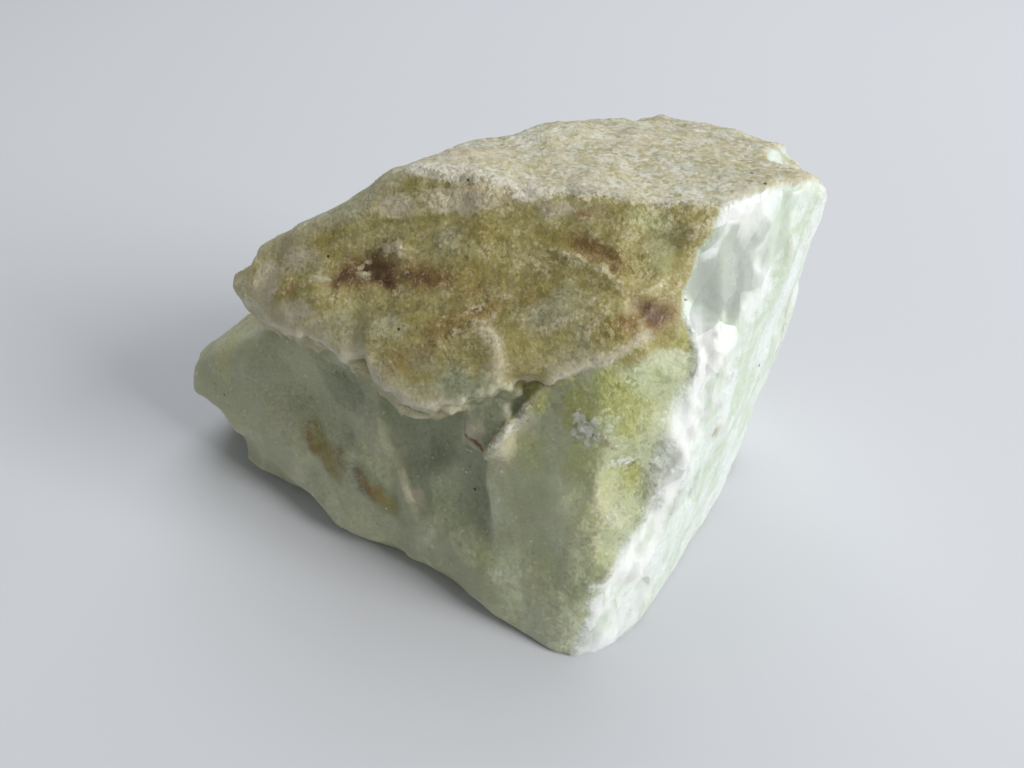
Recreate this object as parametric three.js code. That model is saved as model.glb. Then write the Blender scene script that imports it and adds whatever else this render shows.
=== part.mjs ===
// Raw aquamarine: one broken, unpolished piece of beryl, in millimetres, +Z up.
// It is a leaning block: a stained upper slab whose ragged lip overhangs a cleaner
// lower fracture face, a bright crystalline crest on the right, and a rounded tip
// at the left.  It rests on a flat base.
import * as THREE from 'three';

const CELL = 1.95;              // size of one facet cell
const SEARCH_LOW = [-46, -32, 0];
const SEARCH_HIGH = [44, 36, 50];
const PROJECT_STEPS = 2;        // times each corner is drawn back onto the surface
const PROJECT_REACH = 0.3;      // furthest a corner moves from its start, in cells
const PINCH_FILL = 0.1;         // depth given to a filled sample

const HEIGHT = 47.5;            // crest of the top face above the base
const WIDE_ROUND = 6;           // blend between faces that meet almost flat
const SOFT_ROUND = 2.2;         // worn edges of the main block
const CRISP_ROUND = 1.2;        // fresher edges round the stained face and the crest
const LIP_ROUND = 0.6;          // corner under the overhanging lip
const BASE_ROUND = 0.4;
const CHIP_ROUND = 0.25;

const COARSE_WARP = { amount: 0.75, grain: 7.5, seeds: [1, 2, 3] };
const FINE_WARP = { amount: 0.28, grain: 2.9, seeds: [4, 5, 6] };
const CREST_ROUGHNESS = { amount: 0.35, grain: 3.4, seed: 7 };
const CREST_LINE = { foot: [14.5, -22.5, 2], head: [26.5, -7, 46], core: 2.5, fade: 4 };
const GRAIN_TURN = new THREE.Euler(0.5, 0.9, 0.35, 'ZYX');

// The broken faces: which way each one looks, and a point it passes through.
const FACES = {
  topFront: { normal: [-0.02, -0.06, 1], through: [13, -3.2, HEIGHT] },
  topBack: { normal: [0.06, 0.2, 0.98], through: [18, 12, HEIGHT - 0.4] },
  stainRight: { normal: [-0.1, -0.84, 0.53], through: [12, -3.5, 47] },
  stainLeft: { normal: [-0.36, -0.74, 0.56], through: [3.8, -1.9, 47] },
  lowerLeft: { normal: [-0.514, -0.814, 0.269], through: [13.5, -24.7, 3] },
  lowerRight: { normal: [-0.06, -0.922, 0.383], through: [14.7, -11.7, 34.5] },
  right: { normal: [0.85, -0.52, -0.08], through: [29.4, -4.75, 1] },
  rightFoot: { normal: [0.753, -0.657, 0], through: [15.6, -23.6, 1] },
  bevel: { normal: [0.36, -0.925, 0.11], through: [19.3, -17.35, 33.7] },
  bevelTop: { normal: [0.45, -0.85, 0.27], through: [22.9, -7.9, 42.4] },
  backLeft: { normal: [-0.46, 0.457, 0.762], through: [1.4, 14.2, 45.6] },
  backLow: { normal: [-0.55, 0.8, 0.22], through: [-33, 20.3, 12] },
  back: { normal: [0.02, 0.985, 0.17], through: [18, 25.5, 45] },
  backFoot: { normal: [-0.05, 0.95, -0.3], through: [10, 26, 14] },
  backRight: { normal: [0.66, 0.73, 0.17], through: [35.9, 16.4, 45] },
  sideRight: { normal: [0.97, 0.22, 0.05], through: [38.8, 5, 42] },
  slabEnd: { normal: [-0.93, -0.25, -0.28], through: [-25.6, 1.7, 32.8] },
  shoulder: { normal: [-0.5, 0.12, 0.86], through: [-34.2, 14.7, 17.8] },
  tip: { normal: [-0.97, 0.1, 0.1], through: [-38.7, 15.4, 10] },
  under: { normal: [-0.45, -0.62, -0.64], through: [3.6, -19.8, 2.4] },
  tipUnder: { normal: [-0.6, 0, -0.8], through: [-38.9, 12, 5.2] },
};
const BLOCK_FACES = [
  'topRear', 'right', 'backLeft', 'backLow', 'back', 'backFoot', 'backRight', 'sideRight', 'tip', 'under', 'tipUnder',
];

// Where each worked face keeps its own (across, up) coordinates.
const WORKED_FACES = {
  stain: { normal: [-0.25, -0.79, 0.555], origin: [4, -6, 39] },
  lower: { normal: [-0.5, -0.82, 0.28], origin: [2.5, -10.7, 23.9] },
  crest: { normal: [0.55, -0.8, 0.2], origin: [22, -12, 30] },
};

// Raised plates (rise above 0) and hollows (rise below 0) on a worked face.
// at = across, up; half = half sizes; turn in degrees; edge = share of the size
// taken by its slope; corner 2 is oval, 3 and up is squarer.
const RELIEF = {
  lower: [
    { at: [-9.3, -5], half: [5.6, 7.8], turn: -22, rise: -2, edge: 0.6, corner: 2 },      // dark recess
    { at: [-5, -9.5], half: [4.5, 4.5], turn: 0, rise: -0.9, edge: 0.8, corner: 2 },      // its lower end
    { at: [0.2, 0.2], half: [4, 4.6], turn: 12, rise: 1.5, edge: 0.25, corner: 3 },       // block under the lip
    { at: [1.8, 1.8], half: [2.6, 3.6], turn: 12, rise: 0.8, edge: 0.25, corner: 3 },
    { at: [20, -2], half: [8.4, 15], turn: -8, rise: 0.8, edge: 0.12, corner: 4 },        // plate by the crest
    { at: [-27, -8], half: [9, 7], turn: 10, rise: -1, edge: 0.8, corner: 2 },            // hollow by the tip
    { at: [-17, -13], half: [6, 4], turn: -20, rise: 0.7, edge: 0.8, corner: 2 },
    { at: [4, -9], half: [6, 8], turn: 0, rise: 0.5, edge: 0.9, corner: 2 },              // smooth swell
  ],
  stain: [
    { at: [14.2, 5], half: [4.4, 4.2], turn: 20, rise: -0.9, edge: 0.6, corner: 2 },      // pale lens
    { at: [-15.5, 1.4], half: [5.2, 2.4], turn: 18, rise: -1.4, edge: 0.7, corner: 2 },   // earthy pit
    { at: [-12.2, 3], half: [2.4, 1.5], turn: 10, rise: 1.2, edge: 0.8, corner: 2 },      // crumb in the pit
    { at: [-21.5, -5], half: [7.5, 3.6], turn: 12, rise: 0.8, edge: 0.6, corner: 2 },
    { at: [-9, -9], half: [5.6, 5], turn: 10, rise: 0.9, edge: 0.45, corner: 3 },         // lobes of the lip
    { at: [-3.5, -8.8], half: [4.2, 3.6], turn: 0, rise: 0.5, edge: 0.4, corner: 3 },
    { at: [6.5, -3], half: [8.5, 5], turn: 22, rise: 0.8, edge: 0.4, corner: 3 },
    { at: [4.2, -9.6], half: [2.8, 1.6], turn: 5, rise: -1.4, edge: 0.7, corner: 2 },     // green hollow
    { at: [13.8, 0], half: [1.8, 1.5], turn: 0, rise: -0.8, edge: 0.8, corner: 2 },       // brown pit
    { at: [7.8, 3.6], half: [3.6, 1.4], turn: -10, rise: -0.8, edge: 0.8, corner: 2 },
    { at: [-2, 5], half: [6, 2.5], turn: 10, rise: 0.5, edge: 0.9, corner: 2 },
    { at: [0, 0], half: [6, 2.5], turn: 20, rise: -0.5, edge: 0.9, corner: 2 },
  ],
  crest: [
    { at: [5.6, 10.8], half: [4.3, 6.6], turn: -24, rise: -1.5, edge: 0.4, corner: 2.5 }, // grey shell-shaped chip
    { at: [3.4, 4.4], half: [1.5, 1.8], turn: 0, rise: 1.4, edge: 0.6, corner: 2 },       // white knob below it
    { at: [3.9, -6.2], half: [0.8, 0.9], turn: 0, rise: -1.2, edge: 0.5, corner: 2 },     // small hole
    { at: [10, 5], half: [2.6, 6], turn: -25, rise: 0.6, edge: 0.5, corner: 2 },
    { at: [1.2, -1.5], half: [2.4, 4], turn: 10, rise: 0.6, edge: 0.4, corner: 3 },
    { at: [-1, -8], half: [2.2, 4], turn: 12, rise: 0.6, edge: 0.4, corner: 3 },
    { at: [2.3, -13.5], half: [1.7, 3.6], turn: 14, rise: -0.9, edge: 0.4, corner: 3 },   // dark strip
    { at: [-6.5, -17], half: [2.6, 4], turn: 15, rise: 0.7, edge: 0.4, corner: 3 },
  ],
};

// Height of the ragged lip of the upper slab, from the left end to the right: x, z.
const LIP_SLOPE = 0.8;
const LIP_SHELVING = 0.85;      // how fast the slab thickens downward behind its lip
const LIP = [
  [-30, 32], [-24, 31], [-21.5, 30.2], [-19, 30.8], [-17.4, 31.7], [-15.6, 30.2], [-13.4, 29], [-12.2, 29.4],
  [-10.9, 31.6], [-10.2, 29.6], [-8.6, 28.4], [-6.8, 27.8], [-5.4, 28.3], [-4.2, 27.6], [-1.8, 28], [0.4, 29.8],
  [2.4, 29.9], [4.4, 29.2], [6.6, 30.2], [9.2, 31.6], [12.5, 33], [14.7, 34.5], [18.2, 36.3], [40, 38],
];

// Shell-shaped chips struck off along an edge or scattered over a hidden face.
const CHIP_RUNS = [
  {
    path: [[24.5, -5.8, 45.5], [22.4, -9.6, 38], [21.4, -12.4, 31], [20, -15.4, 24], [17.3, -19.6, 15], [14.8, -22.9, 5]],
    facing: [0.25, -0.95, 0.15], count: 9, radius: [7, 16], bite: [0.35, 0.8], scatter: 0.35, seed: 11,
  },
  {
    path: [[33.8, -1.6, 45], [28.8, -8.4, 33], [25, -13, 24], [21.2, -17.2, 14], [16.4, -22.6, 4]],
    facing: [0.72, -0.68, 0.08], count: 8, radius: [8, 18], bite: [0.2, 0.5], scatter: 0.3, seed: 23,
  },
  {
    path: [[-9.5, -1.6, 47.4], [-2.1, -0.2, 47.6], [5, -2.4, 47.5], [13.3, -3.5, 47.6], [24, -5.4, 47.5]],
    facing: [-0.1, -0.55, 0.83], count: 10, radius: [3.5, 8], bite: [0.2, 0.5], scatter: 0.35, seed: 37,
  },
  {
    path: [
      [-4.5, 8.8, 45.6], [1.4, 14.6, 45.7], [8.5, 21.3, 45.6], [18, 24.4, 45.6], [28, 22.2, 45.2],
      [36.8, 11.2, 45], [38, 3, 45],
    ],
    facing: [0, 0.62, 0.78], count: 13, radius: [4, 10], bite: [0.2, 0.7], scatter: 0.35, seed: 53,
  },
  {
    path: [[-9.5, 3.8, 45.6], [-17.6, 4, 40.9], [-25.4, 2.8, 34.2]],
    facing: [-0.45, -0.1, 0.85], count: 6, radius: [4, 9], bite: [0.2, 0.7], scatter: 0.35, seed: 67,
  },
  {
    path: [
      [-39.8, 14, 8.3], [-31, 5, 6.3], [-22.8, -1.8, 4.8], [-8.7, -12.1, 3.9], [3.6, -19.7, 2.9], [13, -25.1, 2.5],
    ],
    facing: [-0.5, -0.75, -0.35], count: 12, radius: [6, 13], bite: [0.2, 0.6], scatter: 0.3, seed: 71,
  },
  {
    path: [[-30, 13, 24], [-16, 12, 33], [-5, 20, 33], [8, 28, 27]],
    facing: [-0.4, 0.6, 0.65], count: 6, radius: [16, 28], bite: [0.5, 1.2], scatter: 0.35, seed: 83,
  },
  {
    path: [[-6, 27, 22], [8, 28.5, 18], [20, 28.5, 24], [30, 26, 18]],
    facing: [0.1, 0.98, 0.05], count: 5, radius: [16, 30], bite: [0.4, 1.1], scatter: 0.3, seed: 89,
  },
];

const toVector = (triple) => new THREE.Vector3(triple[0], triple[1], triple[2]);

// Larger of two distances, with the corner between them rounded off.
function roundMax(a, b, width) {
  const overlap = Math.max(width - Math.abs(a - b), 0);
  return Math.max(a, b) + (overlap * overlap) / (4 * width);
}

const roundMaxAll = (distances, width) => distances.reduce((a, b) => roundMax(a, b, width));

const easeStep = (t) => t * t * (3 - 2 * t);

const clampUnit = (t) => Math.min(Math.max(t, 0), 1);

// Same-every-time random numbers between 0 and 1.
function makeRandom(seed) {
  let state = seed;
  return () => {
    state = (state * 1664525 + 1013904223) % 4294967296;
    return state / 4294967296;
  };
}

const grainMatrix = new THREE.Matrix4().makeRotationFromEuler(GRAIN_TURN);
const AXES = ['x', 'y', 'z'];

function cornerValue(corner) {
  const spread = Math.sin(corner.x * 127.1 + corner.y * 311.7 + corner.z * 74.7) * 43758.5453;
  return (spread - Math.floor(spread)) * 2 - 1;
}

// Noise that is flat inside small tetrahedra, so it leaves facets and not waves.
function facetNoise(point, grain, seed) {
  const place = point.clone().applyMatrix4(grainMatrix).divideScalar(grain).addScalar(seed * 5.17);
  const corner = place.clone().floor();
  const inside = place.sub(corner);
  const order = [...AXES].sort((a, b) => inside[b] - inside[a]);
  let total = cornerValue(corner) * (1 - inside[order[0]]);
  order.forEach((axis, index) => {
    corner[axis] += 1;
    const next = index < 2 ? inside[order[index + 1]] : 0;
    total += cornerValue(corner) * (inside[axis] - next);
  });
  return total;
}

function warpOffset(point, warp) {
  const [x, y, z] = warp.seeds.map((seed) => facetNoise(point, warp.grain, seed));
  return new THREE.Vector3(x, y, z).multiplyScalar(warp.amount);
}

const planes = Object.entries(FACES).map(([name, face]) => {
  const normal = toVector(face.normal).normalize();
  return { name, normal, reach: normal.dot(toVector(face.through)) };
});

const workedFrames = Object.fromEntries(Object.entries(WORKED_FACES).map(([name, face]) => {
  const normal = toVector(face.normal).normalize();
  const across = new THREE.Vector3(0, 0, 1).cross(normal).normalize();
  const up = normal.clone().cross(across);
  return [name, { origin: toVector(face.origin), across, up }];
}));

function reliefHeight(point, faceName) {
  const frame = workedFrames[faceName];
  const local = point.clone().sub(frame.origin);
  const across = local.dot(frame.across);
  const up = local.dot(frame.up);
  let height = 0;
  for (const patch of RELIEF[faceName]) {
    const turn = THREE.MathUtils.degToRad(patch.turn);
    const shiftAcross = across - patch.at[0];
    const shiftUp = up - patch.at[1];
    const x = (shiftAcross * Math.cos(turn) + shiftUp * Math.sin(turn)) / patch.half[0];
    const y = (shiftUp * Math.cos(turn) - shiftAcross * Math.sin(turn)) / patch.half[1];
    const span = (Math.abs(x) ** patch.corner + Math.abs(y) ** patch.corner) ** (1 / patch.corner);
    height += patch.rise * easeStep(clampUnit((1 - span) / patch.edge));
  }
  return height;
}

function lipHeight(x) {
  const last = LIP.length - 1;
  if (x <= LIP[0][0]) {
    return LIP[0][1];
  }
  if (x >= LIP[last][0]) {
    return LIP[last][1];
  }
  const next = LIP.findIndex((stop) => stop[0] > x);
  const [x0, z0] = LIP[next - 1];
  const [x1, z1] = LIP[next];
  return z0 + ((z1 - z0) * (x - x0)) / (x1 - x0);
}

function pointAlong(path, share) {
  const stops = path.map(toVector);
  const lengths = stops.slice(1).map((stop, index) => stop.distanceTo(stops[index]));
  let left = share * lengths.reduce((a, b) => a + b, 0);
  let index = 0;
  while (index < lengths.length - 1 && left > lengths[index]) {
    left -= lengths[index];
    index += 1;
  }
  return stops[index].clone().lerp(stops[index + 1], left / lengths[index]);
}

function strikeChips(run) {
  const random = makeRandom(run.seed);
  const facing = toVector(run.facing).normalize();
  return Array.from({ length: run.count }, (_, index) => {
    const spot = pointAlong(run.path, (index + random()) / run.count);
    const lean = new THREE.Vector3(random() - 0.5, random() - 0.5, random() - 0.5);
    const outward = facing.clone().addScaledVector(lean, 2 * run.scatter).normalize();
    const radius = THREE.MathUtils.lerp(run.radius[0], run.radius[1], random());
    const bite = THREE.MathUtils.lerp(run.bite[0], run.bite[1], random());
    return { centre: spot.addScaledVector(outward, radius - bite), radius };
  });
}

const chips = CHIP_RUNS.flatMap(strikeChips);

const crestFoot = toVector(CREST_LINE.foot);
const crestSpan = toVector(CREST_LINE.head).sub(crestFoot);

// 1 on the crest between the lower face and the right face, 0 away from it.
function crestShare(point) {
  const fromFoot = point.clone().sub(crestFoot);
  const share = clampUnit(fromFoot.dot(crestSpan) / crestSpan.lengthSq());
  const distance = fromFoot.addScaledVector(crestSpan, -share).length();
  return easeStep(clampUnit(1 - (distance - CREST_LINE.core) / CREST_LINE.fade));
}

// Distance from the stone's surface: below 0 inside it, above 0 outside.
function stoneDistance(point) {
  const bent = point.clone().add(warpOffset(point, COARSE_WARP)).add(warpOffset(point, FINE_WARP));
  const to = Object.fromEntries(planes.map((plane) => [plane.name, bent.dot(plane.normal) - plane.reach]));
  to.topRear = roundMax(to.topFront, to.topBack, SOFT_ROUND * 2);
  const stain = roundMax(to.stainRight, to.stainLeft, WIDE_ROUND) - reliefHeight(bent, 'stain');
  const lower = roundMax(to.lowerLeft, to.lowerRight, WIDE_ROUND) - reliefHeight(bent, 'lower');
  const crest = roundMaxAll([to.rightFoot, to.bevel, to.bevelTop], CRISP_ROUND) - reliefHeight(bent, 'crest');
  const lipGap = (lipHeight(bent.x) + LIP_SHELVING * stain - bent.z) * LIP_SLOPE;
  const slab = roundMax(lipGap, to.slabEnd, CRISP_ROUND);
  const foot = roundMax(lower, to.shoulder, SOFT_ROUND);
  let distance = roundMaxAll(BLOCK_FACES.map((name) => to[name]), SOFT_ROUND);
  distance = roundMax(distance, crest, CRISP_ROUND);
  distance = roundMax(distance, stain, CRISP_ROUND);
  distance = roundMax(distance, Math.min(slab, foot), LIP_ROUND);
  for (const chip of chips) {
    distance = roundMax(distance, chip.radius - bent.distanceTo(chip.centre), CHIP_ROUND);
  }
  const roughness = CREST_ROUGHNESS.amount * facetNoise(point, CREST_ROUGHNESS.grain, CREST_ROUGHNESS.seed);
  distance += crestShare(point) * roughness;
  return roundMax(distance, -point.z, BASE_ROUND);
}

const CUBE_CORNERS = [0, 1, 2, 3, 4, 5, 6, 7].map((bits) => [bits % 2, Math.floor(bits / 2) % 2, Math.floor(bits / 4)]);
const CUBE_EDGES = CUBE_CORNERS.flatMap((corner, from) => [1, 2, 4]
  .filter((step, axis) => corner[axis] === 0)
  .map((step) => [from, from + step]));

// Sample grid with the base exactly halfway between its two lowest layers.
function sampleGrid() {
  const start = toVector(SEARCH_LOW);
  start.z -= CELL / 2;
  const counts = AXES.map((axis, index) => Math.ceil((SEARCH_HIGH[index] - start[axis]) / CELL) + 1);
  const at = (i, j, k) => new THREE.Vector3(i, j, k).multiplyScalar(CELL).add(start);
  const index = (i, j, k) => i + counts[0] * (j + counts[1] * k);
  const values = new Float64Array(counts[0] * counts[1] * counts[2]);
  for (let k = 0; k < counts[2]; k += 1) {
    for (let j = 0; j < counts[1]; j += 1) {
      for (let i = 0; i < counts[0]; i += 1) {
        values[index(i, j, k)] = stoneDistance(at(i, j, k));
      }
    }
  }
  return { counts, at, index, values };
}

// Fills any sample where the stone would otherwise touch itself along one line only.
function closePinches(grid) {
  const [wide, deep, high] = grid.counts;
  const sheets = [[[1, 0, 0], [0, 1, 0]], [[0, 1, 0], [0, 0, 1]], [[0, 0, 1], [1, 0, 0]]];
  let filled = 1;
  while (filled > 0) {
    filled = 0;
    for (let k = 1; k < high - 2; k += 1) {
      for (let j = 1; j < deep - 2; j += 1) {
        for (let i = 1; i < wide - 2; i += 1) {
          for (const [a, b] of sheets) {
            const ring = [
              grid.index(i, j, k),
              grid.index(i + a[0], j + a[1], k + a[2]),
              grid.index(i + a[0] + b[0], j + a[1] + b[1], k + a[2] + b[2]),
              grid.index(i + b[0], j + b[1], k + b[2]),
            ];
            const solid = ring.map((spot) => grid.values[spot] < 0);
            if (solid[0] === solid[2] && solid[1] === solid[3] && solid[0] !== solid[1]) {
              grid.values[solid[0] ? ring[1] : ring[0]] = -PINCH_FILL;
              filled += 1;
            }
          }
        }
      }
    }
  }
}

function distanceSlope(point) {
  const reach = CELL / 10;
  const slope = new THREE.Vector3();
  for (const axis of AXES) {
    const ahead = point.clone();
    ahead[axis] += reach;
    const behind = point.clone();
    behind[axis] -= reach;
    slope[axis] = (stoneDistance(ahead) - stoneDistance(behind)) / (2 * reach);
  }
  return slope;
}

// Draws a corner back onto the surface without letting it leave its own cell.
function settleOnSurface(start) {
  const limit = new THREE.Vector3().addScalar(CELL * PROJECT_REACH);
  const lowest = start.clone().sub(limit);
  const highest = start.clone().add(limit);
  const point = start.clone();
  for (let step = 0; step < PROJECT_STEPS; step += 1) {
    const slope = distanceSlope(point);
    point.addScaledVector(slope, -stoneDistance(point) / Math.max(slope.lengthSq(), 0.25));
    point.clamp(lowest, highest);
  }
  return point;
}

// One facet corner for every cell the surface passes through.
function cellCorner(grid, i, j, k) {
  const values = CUBE_CORNERS.map(([di, dj, dk]) => grid.values[grid.index(i + di, j + dj, k + dk)]);
  const crossed = CUBE_EDGES.filter(([a, b]) => (values[a] < 0) !== (values[b] < 0));
  if (crossed.length === 0) {
    return null;
  }
  const middle = new THREE.Vector3();
  for (const [a, b] of crossed) {
    const share = values[a] / (values[a] - values[b]);
    const [i0, j0, k0] = CUBE_CORNERS[a];
    const [i1, j1, k1] = CUBE_CORNERS[b];
    const near = grid.at(i + i0, j + j0, k + k0);
    middle.add(near.lerp(grid.at(i + i1, j + j1, k + k1), share));
  }
  middle.divideScalar(crossed.length);
  return k === 0 ? middle : settleOnSurface(middle);
}

function buildSurface() {
  const grid = sampleGrid();
  closePinches(grid);
  const [wide, deep, high] = grid.counts;
  const corners = [];
  const cornerOfCell = new Map();
  for (let k = 0; k < high - 1; k += 1) {
    for (let j = 0; j < deep - 1; j += 1) {
      for (let i = 0; i < wide - 1; i += 1) {
        const corner = cellCorner(grid, i, j, k);
        if (corner) {
          cornerOfCell.set(grid.index(i, j, k), corners.length);
          corners.push(corner);
        }
      }
    }
  }
  const triangles = [];
  const steps = [[1, 0, 0], [0, 1, 0], [0, 0, 1]];
  for (let k = 0; k < high - 1; k += 1) {
    for (let j = 1; j < deep - 1; j += 1) {
      for (let i = 1; i < wide - 1; i += 1) {
        steps.forEach((step, axis) => {
          const near = grid.values[grid.index(i, j, k)];
          const far = grid.values[grid.index(i + step[0], j + step[1], k + step[2])];
          if ((near < 0) !== (far < 0)) {
            const side = steps[(axis + 1) % 3];
            const rise = steps[(axis + 2) % 3];
            const ring = [[0, 0], [1, 0], [1, 1], [0, 1]].map(([s, r]) => cornerOfCell.get(grid.index(
              i - s * side[0] - r * rise[0],
              j - s * side[1] - r * rise[1],
              k - s * side[2] - r * rise[2],
            )));
            addQuad(triangles, corners, near < 0 ? ring : ring.reverse());
          }
        });
      }
    }
  }
  return { corners, triangles };
}

// Splits a four-sided patch along its shorter diagonal.
function addQuad(triangles, corners, ring) {
  const [a, b, c, d] = ring;
  if (corners[a].distanceTo(corners[c]) <= corners[b].distanceTo(corners[d])) {
    triangles.push(a, b, c, a, c, d);
  } else {
    triangles.push(a, b, d, b, c, d);
  }
}

function stoneGeometry() {
  const { corners, triangles } = buildSurface();
  const box = new THREE.Box3().setFromPoints(corners);
  const middle = box.getCenter(new THREE.Vector3());
  const shift = new THREE.Vector3(-middle.x, -middle.y, -box.min.z);
  const geometry = new THREE.BufferGeometry().setFromPoints(corners.map((corner) => corner.add(shift)));
  geometry.setIndex(triangles);
  geometry.computeVertexNormals();
  return geometry;
}

const material = new THREE.MeshStandardMaterial({ color: '#b6c3a2', roughness: 0.5, metalness: 0 });
material.name = 'aquamarine';

const stone = new THREE.Mesh(stoneGeometry(), material);
stone.name = 'raw_aquamarine';

const part = new THREE.Group();
part.name = 'raw_aquamarine_stone';
part.add(stone);

export default part;
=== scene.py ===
import math

import bpy
import numpy as np
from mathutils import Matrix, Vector


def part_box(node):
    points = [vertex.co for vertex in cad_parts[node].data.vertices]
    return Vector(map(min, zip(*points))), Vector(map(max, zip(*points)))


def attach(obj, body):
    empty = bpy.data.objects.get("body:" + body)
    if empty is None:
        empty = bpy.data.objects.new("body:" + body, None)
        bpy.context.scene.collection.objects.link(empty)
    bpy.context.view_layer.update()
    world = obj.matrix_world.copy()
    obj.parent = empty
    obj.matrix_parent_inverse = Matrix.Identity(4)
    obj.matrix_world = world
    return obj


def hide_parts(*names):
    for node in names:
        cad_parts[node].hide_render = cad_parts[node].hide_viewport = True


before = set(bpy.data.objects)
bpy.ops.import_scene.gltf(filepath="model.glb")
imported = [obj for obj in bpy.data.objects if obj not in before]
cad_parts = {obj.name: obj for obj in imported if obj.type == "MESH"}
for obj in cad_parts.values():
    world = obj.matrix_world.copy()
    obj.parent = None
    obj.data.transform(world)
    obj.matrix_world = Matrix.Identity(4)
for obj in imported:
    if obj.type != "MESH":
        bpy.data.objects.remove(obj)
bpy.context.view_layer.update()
cadNode = "raw_aquamarine"

# everything about the form is in millimetres, in the stone's own axes:
# x along its length, y away from the stained face, z up from the base

stoneForm = {
    "height": 47.5,           # top of the block
    "cell": 0.45,             # size of the finished mesh's faces
    "coarseStep": 4,          # the search grid is this many cells wide
    "search": ((-43.2, -30.6, 0), (43.2, 34.2, 50.4)),      # box to look for the surface in
    "wideRound": 6.0,         # faces that meet almost flat
    "softRound": 2.2,         # worn edges of the block
    "crispRound": 1.2,        # fresher edges round the stained face and the crest
    "lipRound": 0.6,
    "baseRound": 0.4,
    "chipRound": 0.25,
    "coarseWarp": (0.75, 7.5, (1, 2, 3)),   # amount, grain, seeds
    "fineWarp": (0.15, 2.9, (4, 5, 6)),
    "stainFlat": 0.65,        # share of the coarse bending that the stained face is spared
    "crestRoughness": (0.25, 3.4, 7),
    "crestRound": 3.6,        # how gently the green face turns into the crest
    "crestLine": ((14.5, -22.5, 2.0), (26.5, -7.0, 46.0), 2.5, 4.0),   # foot, head, core, fade
    "grainTurn": (0.5, 0.9, 0.35),
    "recessDepth": 0.9,       # step from its rib and the green plane down into the recess
    "creaseRise": 0.75,       # the low crease that runs down the green face
    "creaseWidth": (6.5, 6),  # its slopes, to the left and to the right
    "lipSlope": 0.8,
    "lipNotches": (0.6, 1.4, 8),
    "lipShelving": 0.85,      # how fast the slab thickens downward behind its lip
    "marginWidth": 3.4,       # the slab's thin, light edge
    "chipStep": 0.4,          # from the stained face down to the grey chip
}

# the broken faces: the way each one looks, and a point it passes through
brokenFaces = {
    "topFront": ((-0.02, -0.06, 1), (13, -3.2, stoneForm["height"])),
    "topBack": ((0.06, 0.2, 0.98), (18, 12, stoneForm["height"] - 0.4)),
    "stainRight": ((-0.1, -0.84, 0.53), (12, -3.5, 47)),
    "stainLeft": ((-0.36, -0.74, 0.56), (3.8, -1.9, 47)),
    "lowerLeft": ((-0.514, -0.814, 0.269), (13.5, -24.7, 3)),
    "lowerRight": ((-0.06, -0.922, 0.383), (14.7, -11.7, 34.5)),
    "right": ((0.85, -0.52, -0.08), (29.4, -4.75, 1)),
    "rightFoot": ((0.753, -0.657, 0), (15.6, -23.6, 1)),
    "bevel": ((0.36, -0.925, 0.11), (19.3, -17.35, 33.7)),
    "bevelTop": ((0.45, -0.85, 0.27), (22.9, -7.9, 42.4)),
    "backLeft": ((-0.46, 0.457, 0.762), (1.4, 14.2, 45.6)),
    "backLow": ((-0.55, 0.8, 0.22), (-33, 20.3, 12)),
    "back": ((0.02, 0.985, 0.17), (18, 25.5, 45)),
    "backFoot": ((-0.05, 0.95, -0.3), (10, 26, 14)),
    "backRight": ((0.66, 0.73, 0.17), (35.9, 16.4, 45)),
    "sideRight": ((0.97, 0.22, 0.05), (38.8, 5, 42)),
    "slabEnd": ((-0.93, -0.25, -0.28), (-25.6, 1.7, 32.8)),
    "shoulder": ((-0.5, 0.12, 0.86), (-34.2, 14.7, 17.8)),
    "tip": ((-0.97, 0.1, 0.1), (-38.7, 15.4, 10)),
    "under": ((-0.45, -0.62, -0.64), (3.6, -19.8, 2.4)),
    "tipUnder": ((-0.6, 0, -0.8), (-38.9, 12, 5.2)),
}
blockFaces = ["right", "backLeft", "backLow", "back", "backFoot", "backRight", "sideRight", "tip", "under",
              "tipUnder"]

# where each worked face keeps its own (across, up) coordinates
workedFaces = {
    "stain": ((-0.25, -0.79, 0.555), (4, -6, 39)),
    "lower": ((-0.5, -0.82, 0.28), (2.5, -10.7, 23.9)),
    "crest": ((0.55, -0.8, 0.2), (22, -12, 30)),
}

plainFaces = {
    "top": ((0, -0.2, 1), (10, 4, 47)),
    "right": ((0.85, -0.52, -0.08), (30, -4, 30)),
    "back": ((-0.2, 0.95, 0.3), (0, 22, 24)),
}

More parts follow.
